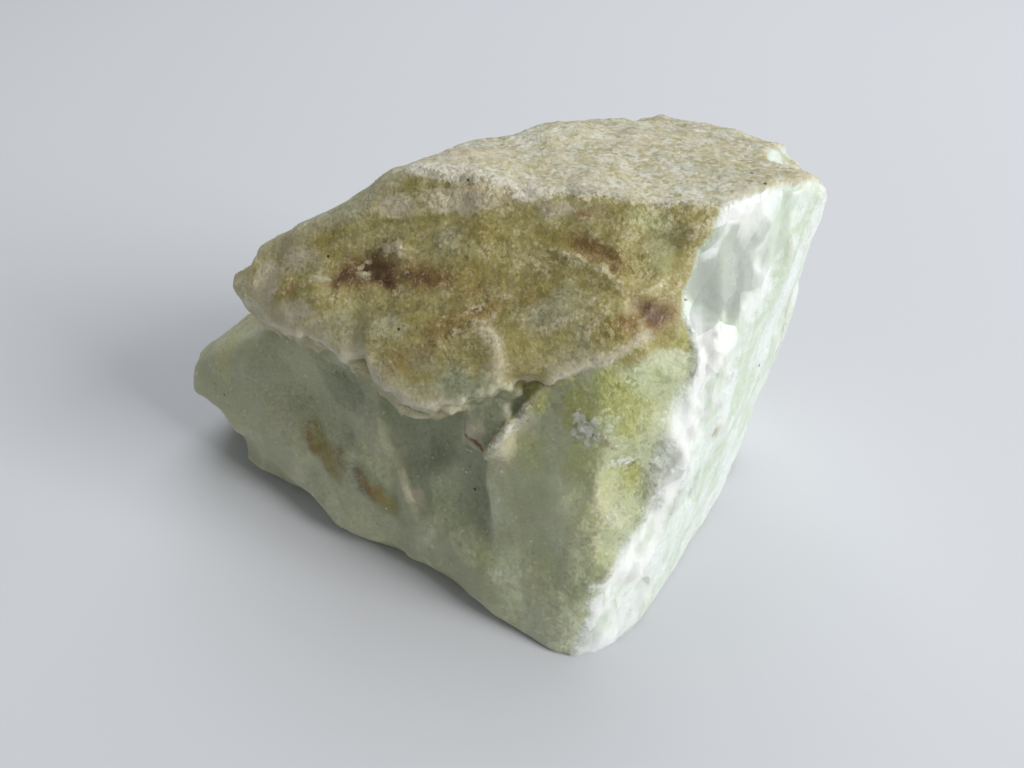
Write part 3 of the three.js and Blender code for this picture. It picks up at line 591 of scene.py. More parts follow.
# marks laid over the faces, by kind and face. Each one: across, up, half width, half height,
# turn, strength
marks = {
    "ochre": {
        "stain": [(-15, -1.2, 9, 3.2, 10, 1.2),   # earthy pit, and rust that runs out of it
            (-18.2, -2, 4.4, 2, 8, 1.1), (-12.5, -1.4, 4.8, 2.1, 6, 1.2),
            (-7.6, -0.6, 5.4, 2.6, 2, 1.1), (-22.8, -4, 2.4, 1.8, 0, 0.6),
            (-3, -1.2, 4.4, 1.8, 20, 0.6), (2.8, -0.6, 4, 1.6, 22, 0.45),
            (8, 4.9, 3.8, 2.1, -24, 1.1),   # brown wedge and star
            (10.6, 3.6, 2.6, 2, -34, 1.2), (15, -0.4, 3.8, 2.8, -10, 1.3), (13, -1.4, 3, 2.2, 30, 0.9),
            (6.8, 8, 2.4, 1.2, 10, 0.9), (-6, 4.6, 3, 1.6, 12, 0.3)],
        "lower": [(-25.6, -12.8, 4.4, 1.9, -34, 0.8), (-19.9, -12.8, 3.8, 1.8, -34, 0.8),
            (-15.2, -13.8, 4.8, 2, -30, 0.85), (6.2, -18.2, 1, 0.7, 0, 0.4)],
        "top": [(-14, 3, 6, 1, -14, 0.5), (3, 12, 6, 1.6, -4, 0.5), (14, 17, 7, 2, 0, 0.45),
            (27, 12, 3, 2, 0, 0.4)],
        "back": [(-14, 12, 9, 2.2, 24, 0.9), (-22, -2, 5, 3.4, -20, 0.7), (6, 4, 7, 1.6, -30, 0.8),
            (17, -8, 6, 3, 10, 0.6), (24, -14, 9, 2, 0, 0.7)],
        "right": [(6, 10, 2.6, 6, 24, 0.4)],
    },
    "umber": {
        "stain": [(-14, -1.3, 5.4, 2.2, 6, 1.35), (-18, -1.9, 3.6, 1.5, 10, 0.9),
            (-9.2, -0.8, 4, 1.5, 0, 0.9), (14.9, -0.2, 2.8, 2, -20, 1.2), (10.4, 3, 1.7, 1, -34, 0.9),
            (14.6, -2.8, 4.4, 2.6, 10, 0.45)],
        "lower": [(-17.5, -13.4, 9, 2.6, -32, 0.5), (-20.4, -0.6, 4.6, 3, 0, 0.4)],
    },
    "rust": {
        "crest": [(3, 9, 0.8, 0.4, 10, 1.3)],
    },
    "olive": {
        "stain": [(-2, 4.6, 4.5, 2.2, 8, 0.8), (4.6, 5.6, 4.4, 1.8, -6, 1), (-3, 0.6, 6.4, 3, 12, 0.9),
            (-19, 0.6, 3.4, 1.4, 20, 0.7), (4.4, -8.8, 4, 2.4, 5, 1.3), (-8, -4.4, 4, 1.8, 10, 0.6),
            (11.5, 3.2, 3, 4.2, 0, 1.3), (13.2, -2.8, 5.4, 3.6, 10, 1.3),
            (15.6, -2.2, 3.6, 3.4, 0, 1.4)],
        "lower": [(-23, -13, 9, 2.8, -30, 0.9),   # stained lower edge
            # the last two, just under the slab's lip: darker olive as painted shade
            (-13.4, -14.8, 6, 2.2, -30, 0.9), (12.6, 13.4, 4.4, 3.2, 0, 1.2),
            (7.4, 10.2, 6, 3, 20, 0.8)],
    },
    "sand": {
        "stain": [(-21.5, -6.6, 6, 2, -4, 0.9), (-23, -0.8, 5, 2.6, 20, 0.9),
            (-26.6, -3.4, 3.4, 3.4, 0, 1.2), (-12.4, 6, 5, 1.8, 16, 1), (-5.8, 7.6, 6.4, 2.4, 4, 1.4),
            (3, 8.2, 14, 1.6, -2, 0.8), (-15.5, -9, 1.2, 3, 0, 0.6)],
        "lower": [(-8.8, -13, 3, 2, -20, 0.8), (-1.4, -0.4, 2, 3, 12, 0.9),   # block
            (-27, -17.6, 8, 1.6, -20, 0.5), (-5, -21.5, 10, 1.2, -28, 0.6)],
        "back": [(-6, 16, 12, 4, 10, 1), (12, -4, 8, 6, -30, 0.8), (30, -10, 6, 5, 0, 0.8)],
        "top": [(-9, 2, 7, 2.6, -12, 1.1), (8, 8, 6, 1.4, -10, 0.6), (18, 12, 7, 1.4, -4, 0.5)],
    },
    "mist": {
        "stain": [(-6.5, -9, 4.2, 2.2, 6, 0.8), (5.6, -1.4, 6.4, 3.8, 34, 1),
            (9.4, -3.4, 4, 2.4, 20, 0.8), (-17, 5.6, 7, 2.2, 30, 0.8), (-6.5, 3.6, 3.4, 2.6, 20, 0.7),
            (-11, -5.8, 4.6, 2.6, 10, 0.9), (-16.6, -6.6, 3, 2.4, 10, 0.7)],
        "lower": [(-32, -10, 8, 6, 0, 0.8), (-22, -7, 6, 4, 0, 0.4), (5, -12, 4, 7, 10, 0.5)],
        "back": [(-16, 2, 9, 8, 20, 0.9), (2, -12, 12, 5, -10, 1)],
        "crest": [(6.6, 10, 4.6, 6.4, -20, 1.3), (8.8, 14.2, 3.4, 3.4, 0, 1.2),
            (-2.2, -13.6, 2.4, 4.6, 18, 1.2), (-5, -22, 1.5, 4.6, 16, 0.9),
            (8.5, -3.5, 1.6, 4, -20, 0.7)],
    },
    # darker stone: painted shade in the recess and under the slab, on the lower left, at the lip's lower
    # end and in the small hole; darker patches on the back
    "deep": {
        "lower": [(-7.4, -6.2, 5.6, 6.6, -22, 0.7),   # painted shade in the recess under the slab
            (-20.4, -3, 6.5, 5.4, 0, 1.2), (-27, -9, 6, 3, -20, 0.5), (-14, -14.4, 8, 3.6, -30, 1.2),
            (-19, -9.4, 4.4, 3, -20, 0.7), (-1.4, 4.4, 4.4, 2.2, 0, 1.2),
            (-9.5, 0.5, 9, 4.5, -10, 1.3)],
        "stain": [(-1.4, -10.8, 6, 3.4, 0, 1.3), (2.6, -10.4, 3.4, 1.8, 0, 1.3)],
        "crest": [(3.9, -6.2, 0.9, 1, 0, 1)],
        "back": [(-4, 4, 9, 6, -30, 1), (18, -12, 9, 4, 20, 0.9)],
    },
    # pale tone with painted glow, where light comes through thin, clear stone
    "pale": {
        "stain": [(14.8, 5.4, 3.4, 3.2, 10, 1.2),   # lens
            (13.6, 8.4, 4.6, 2, 0, 1), (12.2, -2.4, 2.6, 1.8, 30, 0.5)],
        "lower": [(12.6, -5.6, 5, 11, -6, 0.55),   # clear stone beside the crest, brightened by painted glow
            (8.6, -16, 5, 5, 0, 0.5), (-41, -6, 4, 7, 0, 0.9)],   # pale rim of the left lobe, painted glow
    },
    "leaf": {
        "stain": [(12.4, 3.4, 1.8, 2.4, -20, 0.9), (12.6, -2.8, 2.8, 1.6, 30, 0.8),
            (17.4, -2.8, 2, 3.2, -40, 1.1)],
        "lower": [(4.6, 5, 3.2, 3.6, -20, 0.9), (6.8, 9, 3.4, 3.4, 0, 0.9),
            (8.6, 5.6, 3, 4.8, -18, 1.1), (11.6, 8.4, 3.4, 4.8, 0, 1.2), (10.2, 0.4, 3.8, 6.4, 0, 0.6),
            (4.4, -1, 5, 6, 0, 0.5), (14, 5.6, 2.6, 5, 0, 1.1), (14.6, -1.6, 2.4, 4, 0, 0.8),
            (2, -16, 4, 4, 0, 0.4)],
    },
    "clear": {
        "stain": [(15.4, 4.8, 3.8, 4.4, 20, 1.2), (-6.5, -9.6, 4.2, 2.4, 6, 0.7)],
        "crest": [(6, 10, 4, 6.2, -20, 1.3)],
        "lower": [(7, -6, 8, 14, -10, 1.2), (-8, -7, 6, 6, 0, 0.8)],
    },
    "frost": {
        "stain": [(-12.8, 4.9, 2.6, 0.7, -4, 1),   # crumbs
            (-12.2, 1.5, 2.9, 1.2, 12, 1.4), (-15.2, -0.4, 2.2, 0.6, 24, 1.2),
            (-10.8, -1.9, 1.6, 0.7, 30, 0.8), (-23.8, -4.3, 0.9, 0.7, 0, 0.9),
            (-1.8, -2.7, 1.5, 0.6, 14, 0.8), (-0.2, -0.9, 0.9, 0.7, 0, 0.8),
            (-6.4, 2.7, 1.2, 0.5, 0, 0.8), (2.8, 3.2, 1.8, 1, 10, 0.7), (-16, 6.1, 0.7, 1.2, 0, 0.6),
            (10, -2.4, 1.2, 2, -20, 0.7), (-3.4, 9, 5.5, 1.1, -6, 1.1),   # along the top edge
            (-8, 8, 5.6, 2.4, 8, 0.8), (5.6, 9.6, 5.5, 0.6, -2, 1), (13, 10.2, 5, 0.6, 3, 1)],
        "lower": [(9.6, 4.2, 1.9, 3, 34, 1.3),   # chips beside the crest
            (11, 3, 1.9, 1.2, 0, 0.7), (14, 0.2, 1.8, 1.4, 0, 1), (14.6, -5, 1.2, 1.6, 0, 0.8)],
        "crest": [(4.2, 3.4, 1.5, 2, 0, 1.6), (1.4, -2, 2, 4, 10, 1.1), (-1.8, -8, 3.4, 5, 10, 1.3),
            (6.5, 0.5, 1.8, 2.4, -20, 0.7), (-6.6, -12.4, 1.2, 1, -30, 1),
            (-10.6, -18.4, 1.6, 0.8, 0, 1.2), (7.4, 16, 3, 1, 0, 0.9)],
        "back": [(-2, 10, 4, 1, 30, 0.9), (9, -1, 3, 1.2, -40, 0.9), (-20, -12, 3, 1.4, 10, 0.8),
            (26, -6, 4, 1, 20, 0.8)],
    },
}


# the share of a value past a start, over a fade
def past(value, start, fade):
    return ease((value - start) / fade)


# each corner's value averaged with its neighbours', several times over
def softened(values, quads, rounds):
    pairs = np.concatenate([quads[:, (k, (k + 1) % 4)] for k in range(4)])
    pairs = np.concatenate([pairs, pairs[:, ::-1]])
    count = np.bincount(pairs[:, 0], minlength=len(values))
    for turn in range(rounds):
        total = [np.bincount(pairs[:, 0], values[pairs[:, 1], k], len(values)) for k in range(3)]
        values = 0.5 * values + 0.5 * np.stack(total, -1) / count[:, None]
    return values


def cornerNormals(corners, quads):
    a, b, c, d = (corners[quads[:, k]] for k in range(4))
    faceNormals = np.cross(c - a, d - b)
    normals = np.zeros_like(corners)
    for k in range(4):
        for axis in range(3):
            normals[:, axis] += np.bincount(quads[:, k], faceNormals[:, axis], len(corners))
    return normals / np.maximum(np.linalg.norm(normals, axis=1), 1e-9)[:, None]


# how far each corner stands proud of the corners round it, in millimetres
def proudness(corners, quads, rounds):
    smooth = softened(corners, quads, rounds)
    return ((corners - smooth) * cornerNormals(smooth, quads)).sum(1)


# how much each corner of the mesh belongs to each kind of face: the shares add up to 1
def faceShares(corners, quads):
    to = stoneParts(corners)
    facing = softened(cornerNormals(corners, quads), quads, 8)
    facing /= np.linalg.norm(facing, axis=1)[:, None]
    shares = {"top": past(facing @ planes["topFront"][0], *fineForm["topTurn"])}
    left = 1 - shares["top"]
    shares["back"] = left * past(facing[:, 1], *fineForm["backTurn"])
    left = left - shares["back"]
    beside = np.maximum(np.maximum(to["right"], to["rightFoot"]), to["sideRight"])
    shares["right"] = left * past(facing @ planes["right"][0], *fineForm["rightTurn"]) * past(beside, -4, 2)
    left = left - shares["right"]
    bent = warped(corners, fineForm["edgeWarps"])
    shares["crest"] = left * edgeShare(bent, "crest")
    left = left - shares["crest"]
    shares["stain"] = left * ease((0.5 - to["lip"]) / 0.7)
    shares["lower"] = left - shares["stain"]
    shares["plane"] = shares["lower"] * edgeShare(bent, "plane")
    shares["recess"] = shares["lower"] * recessShare(bent)
    shares["everywhere"] = np.ones(len(corners))
    width = np.interp(corners[:, 0], (4, 9), (1.5, 1.0))
    shares["ridge"] = ease(width - np.abs(to["topAll"])) * ease(width - np.abs(to["stain"]))
    thin = np.maximum(np.maximum(to["lip"], to["slabEnd"]), to["backLeft"])
    shares["rim"] = ease(1 - np.abs(to["lip"]) / 0.8) * ease(1.5 - np.abs(to["stain"])) * left
    shares["margin"] = shares["stain"] * ease(1 + thin / stoneForm["marginWidth"])
    return shares


def drawnOut(points, line, stretch):
    line = unit(line)
    return points + (1 / stretch - 1) * (points @ line)[:, None] * line


def markMasks(corners, shares):
    bent = warped(corners, fineForm["markWarps"])
    masks = {}
    for kind, faces in marks.items():
        masks[kind] = np.zeros(len(corners))
        for face, patches in faces.items():
            for across, up, wide, high, turn, strength in patches:
                patch = strength * patchShare(bent, face, (across, up), (wide, high), turn, 1.0, 2)
                masks[kind] = np.maximum(masks[kind], patch * ease(2 * shares[face]))
    bent = warped(corners, fineForm["seamWarps"])
    masks["seamRise"] = np.zeros(len(corners))
    for kind, face, path, width, strength, rise in seams:
        seam = seamShare(bent, face, path, width) * ease(3 * shares[face])
        masks[kind] = np.maximum(masks[kind], strength * seam)
        masks["seamRise"] += rise * seam
    return masks


def addScoops(corners, normals, shares, masks):
    form = fineForm
    rise = np.zeros(len(corners))
    shares = {**shares, "frost": masks["frost"]}
    for face, layers in scoops.items():
        for depth, width, stretch, seed in layers:
            edge = scoopNoise(drawnOut(corners, streakLines[face], stretch), width, seed)
            rise += shares[face] * depth * (form["scoopGain"] * edge - form["scoopFloor"])
    rise *= 1 - form["calm"] * np.clip(masks["clear"], 0, 1)
    depth, grain, seed = form["earthPits"]
    rise -= depth * masks["umber"] * ease(2 * facetNoise(corners, grain, seed))
    steady, broken, grain, seed = form["seamGrain"]
    rise += masks.pop("seamRise") * (steady + broken * facetNoise(corners, grain, seed))
    rise -= stoneForm["chipStep"] * shares["crest"] * past(corners[:, 2], *form["chipZone"])
    rise *= past(corners[:, 2], 0, form["baseFade"])
    return corners + normals * rise[:, None]


faceMasks = ("top", "stain", "lower", "plane", "recess", "right", "back", "crest", "ridge", "margin", "rim")


def buildStone(corners, quads):
    shares = faceShares(corners, quads)
    masks = markMasks(corners, shares)
    corners = addScoops(corners, cornerNormals(corners, quads), shares, masks)
    proud = proudness(corners, quads, fineForm["proudRounds"])
    masks["wearAndHighlight"] = np.clip(proud / fineForm["proudHeight"], 0, 1)
    masks["hollow"] = np.clip(-proud / fineForm["proudHeight"], 0, 1)
    for name in faceMasks:
        masks[name] = shares[name]
    masks["crushed"] = crestShare(corners) * shares["crest"]
    middle = (corners.min(0) + corners.max(0)) / 2
    low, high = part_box(cadNode)
    shift = np.array(((low.x + high.x) * 500 - middle[0], (low.y + high.y) * 500 - middle[1], low.z * 1000))
    mesh = bpy.data.meshes.new("raw_stone")
    mesh.from_pydata(((corners + shift) / 1000).tolist(), [], quads.tolist())
    mesh.polygons.foreach_set("use_smooth", [True] * len(quads))
    for name, mask in masks.items():
        mesh.attributes.new(name, "FLOAT", "POINT").data.foreach_set("value", np.asarray(mask, np.float32))
    place = mesh.attributes.new("place", "FLOAT_VECTOR", "POINT")
    place.data.foreach_set("vector", corners.astype(np.float32).ravel())
    stone = bpy.data.objects.new("raw_stone", mesh)
    bpy.context.scene.collection.objects.link(stone)
    return stone, shift


stone, shift = buildStone(corners, quads)
print("stone: relief and marks done")


# a socket that can stand in sums, so shader maths reads as plain expressions
class Wire:
    def __init__(self, net, socket):
        self.net, self.socket = net, socket

    def maths(self, operation, *values, **settings):
        return self.net.add("ShaderNodeMath", {"operation": operation, **settings}, *values)

    def __add__(self, other):
        return self.maths("ADD", self, other)

    def __sub__(self, other):
        return self.maths("SUBTRACT", self, other)

    def __rsub__(self, other):
        return self.maths("SUBTRACT", other, self)

    def __mul__(self, other):
        return self.maths("MULTIPLY", self, other)

    __radd__, __rmul__ = __add__, __mul__

    def held(self):                      # kept from 0 to 1
        return self.maths("ADD", self, 0, use_clamp=True)

    def between(self, low, high):        # 0 at low, 1 at high, eased
        settings = {"interpolation_type": "SMOOTHSTEP"}
        return self.net.add("ShaderNodeMapRange", settings, self, low, high, 0, 1)


class Net:
    def __init__(self, name):
        self.material = bpy.data.materials.new(name)
        self.material.use_nodes = True
        self.tree = self.material.node_tree
        self.tree.nodes.clear()

    # any node: its type, its settings, then values or links of its sockets, by order or by name
    def add(self, kind, settings=None, *values, out=0, **named):
        node = self.tree.nodes.new(kind)
        for key, value in (settings or {}).items():
            setattr(node, key, value)
        spaced = {key.replace("_", " "): value for key, value in named.items()}
        for key, value in [*enumerate(values), *spaced.items()]:
            if isinstance(value, Wire):
                self.tree.links.new(value.socket, node.inputs[key])
            elif value is not None:
                node.inputs[key].default_value = value
        return Wire(self, node.outputs[out]) if node.outputs else None

    def mask(self, name):
        return self.add("ShaderNodeAttribute", {"attribute_name": name}, out="Fac")

    def mix(self, share, first, second):
        settings = {"data_type": "RGBA", "clamp_factor": True}
        return self.add("ShaderNodeMix", settings, share, *[None] * 5, first, second, out=2)

    def noise(self, place, scale, detail, roughness):
        values = {"Vector": place, "Scale": scale, "Detail": detail, "Roughness": roughness}
        return self.add("ShaderNodeTexNoise", None, **values)

    def cells(self, place, scale, out):
        return self.add("ShaderNodeTexVoronoi", None, Vector=place, Scale=scale, out=out)

    # the pattern's own space, drawn out along a line
    def along(self, place, line, stretch):
        x, y, z = unit(line)
        turn = (0, -math.asin(z), math.atan2(y, x))
        return self.add("ShaderNodeMapping", {"vector_type": "TEXTURE"}, place, None, turn, (stretch, 1, 1))


# a screen colour, 0 to 255, as the renderer's own
def colour(*levels):
    return (*[((level / 255 + 0.055) / 1.055) ** 2.4 for level in levels], 1)


stoneLook = {
    "sea": colour(184, 192, 146),        # smooth green stone
    "seaPale": colour(200, 206, 174),
    "deep": colour(146, 153, 120),       # darker stone: mostly painted shade, also darker grain
    "mist": colour(184, 184, 152),       # grey translucent patches
    "sand": colour(211, 201, 174),       # pinkish thin edges
    "pale": colour(204, 204, 150),       # clear stone's pale tone, with a painted glow of light coming through it
    "leaf": colour(188, 190, 104),
    "ice": colour(233, 240, 236),        # fresh broken face
    "iceGreen": colour(208, 221, 201),
    "iceGrey": colour(188, 194, 182),
    "frost": colour(246, 248, 243),      # crushed white crystal
    "crumb": colour(234, 216, 184),      # crushed and dusty
    "ridge": colour(226, 221, 203),
    "khaki": colour(179, 171, 116),      # old stained skin
    "olive": colour(156, 143, 73),
    "topPale": colour(214, 213, 196),
    "topStain": colour(184, 177, 130),
    "ochre": colour(142, 110, 52),
    "umber": colour(92, 64, 34),
    "rust": colour(132, 80, 44),
    "speck": colour(46, 40, 30),
    "subsurface": 0.3,
    "depth": 0.0045,                     # how far light gets into the stone, in metres
    "scatter": (1.0, 1.0, 0.75),
    "bending": 1.57,                     # index of refraction
    "glassy": 0.24,                      # roughness of clear, plain and dusty stone
    "plain": 0.4,
    "dusty": 0.62,
    "bump": 1.0,
    "bumpHeight": 0.0009,
    # grain of the colours: scale per millimetre, detail, roughness
    "noises": {
        "broad": (0.12, 2, 0.55), "mottle": (0.38, 4, 0.6), "fine": (1.1, 4, 0.65), "grit": (2.8, 3, 0.7),
    },
    # streaks along a face's own line: stretch, then as above
    "streaks": {"stain": (3.0, 0.8, 4, 0.6), "top": (3.5, 0.6, 4, 0.6), "right": (3.0, 0.35, 4, 0.6)},
    # how strongly each kind of mark covers
    "markShares": {"mist": 0.65, "pale": 0.85, "sand": 0.8, "deep": 0.85, "leaf": 0.75, "olive": 0.85},
    "crystalScale": 2.2,                 # small crystals in the grain
    "shardScale": 0.5,                   # longer ones, drawn out along the crest
    "shardStretch": 2.4,
    "speckScale": 0.17,
}


def stoneTint(net, look, place):
    mask = {name: net.mask(name) for name in (*faceMasks, "crushed", "wearAndHighlight", "hollow", *marks)}
    broad, mottle, fine, grit = [net.noise(place, *grain) for grain in look["noises"].values()]
    stainStreak, topStreak, rightStreak = [
        net.noise(net.along(place, streakLines[face], stretch), *grain)
        for face, (stretch, *grain) in look["streaks"].items()]
    grain = (fine - 0.5) * 0.9 + (grit - 0.5) * 0.7      # about 0, mostly within 0.3
    cells = net.cells(place, look["crystalScale"], "Color") * 1.1 - 0.55
    shards = net.along(place, streakLines["crest"], look["shardStretch"])
    shardTone = net.cells(shards, look["shardScale"], "Color") * 1.1 - 0.55

    # lays one of the colours over what is there
    def lay(name, share):
        nonlocal tint
        tint = net.mix(share, tint, look[name])

    tint = net.mix((broad * 0.6 + mottle * 0.4).between(0.4, 0.62), look["sea"], look["seaPale"])
    lay("mist", (stainStreak * 0.5 + (1 - mottle) * 0.5 + grain * 0.3).between(0.45, 0.62) * 0.6)
    stained = (broad * 0.6 + mottle * 0.4).between(0.48, 0.62) * mask["back"]
    lay("topStain", stained * 0.7)
    milky = ((1 - broad) * 0.5 + fine * 0.2 + mottle * 0.3).between(0.5, 0.62) * mask["back"]
    lay("iceGreen", milky * 0.6)
    rusty = (mask["hollow"] * 0.5 + (stainStreak - 0.5) * 1.2 + grain * 0.6).between(0.25, 0.75)
    lay("ochre", rusty * mask["back"] * 0.5)
    topTone = topStreak * 0.3 + mottle * 0.7 + grain * 0.4 + cells * 0.15
    top = net.mix(topTone.between(0.36, 0.62), look["topStain"], look["topPale"])
    sandy = (broad * 0.5 + (1 - mottle) * 0.5 + cells * 0.2).between(0.46, 0.62)
    top = net.mix(sandy * 0.7, top, look["sand"])
    top = net.mix((grain + cells * 0.5 + (topStreak - 0.5)).between(0.05, 0.5) * 0.5, top, look["frost"])
    top = net.mix((grain * -1 - cells * 0.4 + (mottle - 0.5)).between(0.1, 0.5) * 0.5, top, look["khaki"])
    tint = net.mix(mask["top"], tint, top)
    skinTone = stainStreak * 0.3 + mottle * 0.3 + broad * 0.4
    skin = net.mix(skinTone.between(0.36, 0.62), look["olive"], look["khaki"])
    skin = net.mix(grain.between(0.02, 0.35) * 0.2, skin, look["crumb"])
    tint = net.mix(mask["stain"], tint, skin)

    haze = (mask["lower"] - mask["plane"] - mask["recess"]).held()
    lay("mist", haze * 0.5)
    # painted shade over the recess under the slab
    lay("deep", mask["recess"] * 0.75)
    soft = (mottle - 0.5) * 0.8 + (stainStreak - 0.5) * 0.4 + grain * 0.3
    thin = net.mix((stainStreak * 0.5 + fine * 0.5).between(0.4, 0.6), look["sand"], look["mist"])
    tint = net.mix((mask["margin"] + soft).between(0.15, 0.9) * 0.62, tint, thin)
    for name, share in look["markShares"].items():
        lay(name, (mask[name] + soft).between(0.1, 0.9) * share)
    iceTone = rightStreak * 0.7 + mottle * 0.2 + fine * 0.1 + shardTone * 0.1
    ice = net.mix(iceTone.between(0.38, 0.56), look["iceGreen"], look["ice"])
    # greyer in hollows: painted shade, with some random grey
    greyer = (mask["hollow"] + shardTone * 0.4 - (rightStreak - 0.5)).between(0.3, 0.9)
    ice = net.mix(greyer * 0.5, ice, look["iceGrey"])
    raggedEdge = mask["crest"] * (1 - mask["crest"]) * (mottle + fine - 1) * 5
    iced = (mask["right"] + mask["crest"] + raggedEdge).held()
    tint = net.mix(iced, tint, ice)
    broken = (stainStreak - 0.5) * 0.9 + grain * 1.2
    lay("ochre", (mask["ochre"] * 0.9 + broken * 0.6).between(0.05, 0.95) * 0.88)
    lay("umber", (mask["umber"] * 0.9 + broken * 0.7).between(0.2, 0.9) * 0.85)
    grainy = mask["stain"] * (1 - mask["margin"] * 0.6) + mask["top"] * 0.6 + mask["back"] * 0.4
    bright = (grit + (fine - 0.5) * 0.6 + (stainStreak - 0.5) * 0.4).between(0.54, 0.68)
    dark = ((1 - grit) + (mottle - 0.5) * 0.5 + mask["ochre"] * 0.06).between(0.54, 0.68)
    lay("crumb", bright * grainy * 0.34)
    lay("umber", dark * grainy * 0.36)
    lay("rust", (mask["rust"] + grain).between(0.4, 0.8))
    # darker in the stained face's hollows: painted shade
    lay("umber", mask["hollow"] * mask["stain"] * 0.25)
    # paler proud corners: worn edges, partly painted highlight
    lay("sand", (mask["wearAndHighlight"] + broken).between(0.3, 1.0) * 0.4)
    notIced = 1 - iced
    rim = (mask["rim"] + grain + (mottle - 0.6) - mask["deep"] * 0.5).between(0.1, 0.9)
    lay("ridge", rim * 0.45)
    ridge = (mask["ridge"] + grain * 1.6 + (broad - 0.5) * 1.2).between(0.35, 0.85) * notIced
    lay("ridge", ridge * 0.8)
    dusty = (mask["frost"] * 0.9 + grain * 1.6 + cells * 0.9 - 0.1).between(0.3, 0.75) * notIced
    dusty = dusty * (1 - mask["lower"] * 0.2)
    crumb = net.mix(grit.between(0.4, 0.6) * 0.6, look["crumb"], look["topStain"])
    tint = net.mix(dusty * 0.85, tint, net.mix(mask["lower"], crumb, look["frost"]))
    lay("iceGrey", (mask["mist"] * mask["crest"]).between(0.2, 0.5) * 0.8)
    # proud corners whiten the crest too: partly painted highlight
    white = mask["crushed"] * 0.5 + mask["frost"] * 0.6 + mask["wearAndHighlight"] * 0.2 + (mottle - 0.5) * 0.7
    white = white + shardTone * 0.6
    frost = (white - mask["clear"].held() * 1.1).between(0.1, 0.6) * mask["crest"]
    lay("frost", frost * 0.9)
    lay("deep", (grain * -1).between(0.05, 0.4) * 0.16)
    speckDots = net.cells(place, look["speckScale"], "Distance")
    lay("speck", (1 - speckDots.between(0.02, 0.04)) * 0.9)
    dust = mask["stain"] * 0.4 + mask["top"] * 0.4 + dusty * 0.5 + frost * 0.2 + mask["ochre"] * 0.4
    glint = mask["crushed"] * 0.6 + mask["ridge"] * 0.5 + mask["pale"] * 0.5 + mask["leaf"] * 0.3
    crystal = 0.3 + 0.7 * (mask["frost"] + glint).held()
    grain = grain + cells * 0.3 * (1 - mask["crest"]) - shardTone * 0.5 * mask["crest"]
    return tint, dust.held(), grain, crystal * (1 - mask["clear"].held() * 0.8)


# small crystal facets: each cell of the pattern leans its own way
def facetHeight(net, place, scale):
    middle, value = [net.cells(place, scale, out) for out in ("Position", "Color")]
    away = net.add("ShaderNodeVectorMath", {"operation": "SUBTRACT"}, place, middle)
    lean = net.add("ShaderNodeVectorMath", {"operation": "SUBTRACT"}, value, (0.5, 0.5, 0.5))
    return net.add("ShaderNodeVectorMath", {"operation": "DOT_PRODUCT"}, away, lean, out="Value") * scale


def stoneMaterial(look):
    net = Net("aquamarine")
    place = net.add("ShaderNodeAttribute", {"attribute_name": "place"}, out="Vector")
    tint, dust, grain, crystal = stoneTint(net, look, place)
    clear = net.mask("clear").held()
    rough = look["plain"] + (look["dusty"] - look["plain"]) * dust
    rough = rough - clear * (look["plain"] - look["glassy"]) + grain * 0.5
    small = facetHeight(net, place, look["crystalScale"]) * 0.7 + grain * 0.5
    shards = net.along(place, streakLines["crest"], look["shardStretch"])
    sharp = facetHeight(net, shards, look["shardScale"]) * 1.5
    height = net.add("ShaderNodeMix", None, net.mask("crest"), None, small, sharp) * crystal
    bump = {"Strength": look["bump"], "Distance": look["bumpHeight"], "Height": height}
    surface = net.add(
        "ShaderNodeBsdfPrincipled", None, Base_Color=tint, Roughness=rough.held(), IOR=look["bending"],
        Normal=net.add("ShaderNodeBump", None, **bump), Subsurface_Weight=look["subsurface"],
        Subsurface_Radius=look["scatter"], Subsurface_Scale=look["depth"])
    net.add("ShaderNodeOutputMaterial", None, surface)
    return net.material


stone.data.materials.append(stoneMaterial(stoneLook))
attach(stone, "root")
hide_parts(cadNode)
print("stone: material done")

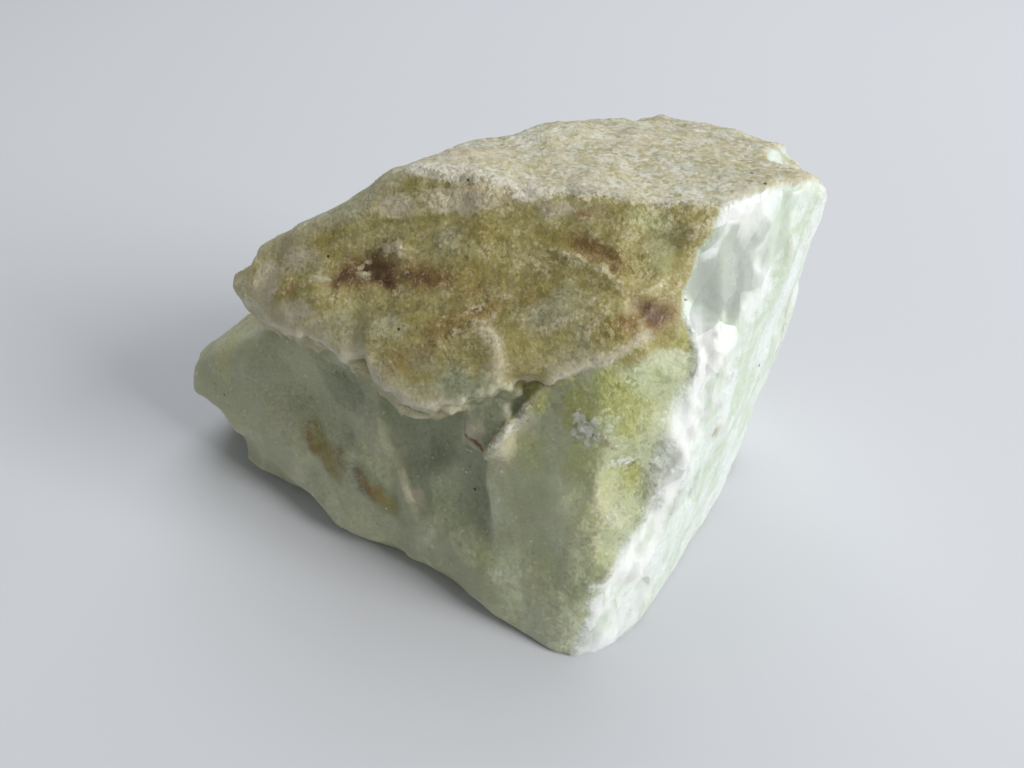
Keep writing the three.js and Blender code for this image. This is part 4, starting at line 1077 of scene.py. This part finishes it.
studio = {
    "floor": colour(219, 221, 226),
    "floorSize": 4.0,
    "world": (0.94, 0.95, 0.96, 1),
    "worldStrength": 0.2,
    "camera": (5, -70, 80),              # millimetres, in the stone's own axes
    "pitch": 40,
    "lens": 27,
    # place, aim, size, power, colour: metres and watts
    "window": ((0.88, -0.42, 0.52), (0.01, 0, 0.02), 0.5, 10.2, (1.0, 1.0, 0.99)),
    "sky": ((0.05, 0.40, 0.70), (0, 0, 0.02), 0.7, 3.0, (0.97, 0.99, 1.0)),
}


def addLight(name, place, target, size, power, tint):
    light = bpy.data.lights.new(name, "AREA")
    light.shape, light.size, light.energy, light.color = "SQUARE", size, power, tint
    lamp = bpy.data.objects.new(name, light)
    lamp.location = place
    lamp.rotation_euler = (Vector(target) - Vector(place)).to_track_quat("-Z", "Y").to_euler()
    bpy.context.scene.collection.objects.link(lamp)


def buildStudio(studio):
    half = studio["floorSize"] / 2
    mesh = bpy.data.meshes.new("floor")
    corners = [(-half, -half, 0), (half, -half, 0), (half, half, 0), (-half, half, 0)]
    mesh.from_pydata(corners, [], [(0, 1, 2, 3)])
    floor = bpy.data.objects.new("floor", mesh)
    bpy.context.scene.collection.objects.link(floor)
    net = Net("studio_floor")
    surface = net.add("ShaderNodeBsdfDiffuse", None, studio["floor"])
    net.add("ShaderNodeOutputMaterial", None, surface)
    mesh.materials.append(net.material)
    world = bpy.data.worlds.new("studio")
    world.use_nodes = True
    background = world.node_tree.nodes["Background"]
    background.inputs[0].default_value = studio["world"]
    background.inputs[1].default_value = studio["worldStrength"]
    bpy.context.scene.world = world
    for name in ("window", "sky"):
        addLight(name, *studio[name])
    view = bpy.data.cameras.new("camera")
    view.lens, view.sensor_width, view.clip_start, view.clip_end = studio["lens"], 36, 0.005, 20
    camera = bpy.data.objects.new("camera", view)
    camera.location = (np.array(studio["camera"]) + shift) / 1000
    camera.rotation_euler = (math.radians(90 - studio["pitch"]), 0, 0)
    bpy.context.scene.collection.objects.link(camera)
    bpy.context.scene.camera = camera
    bpy.context.scene.view_settings.view_transform = "Standard"


buildStudio(studio)
print("stone: studio done")
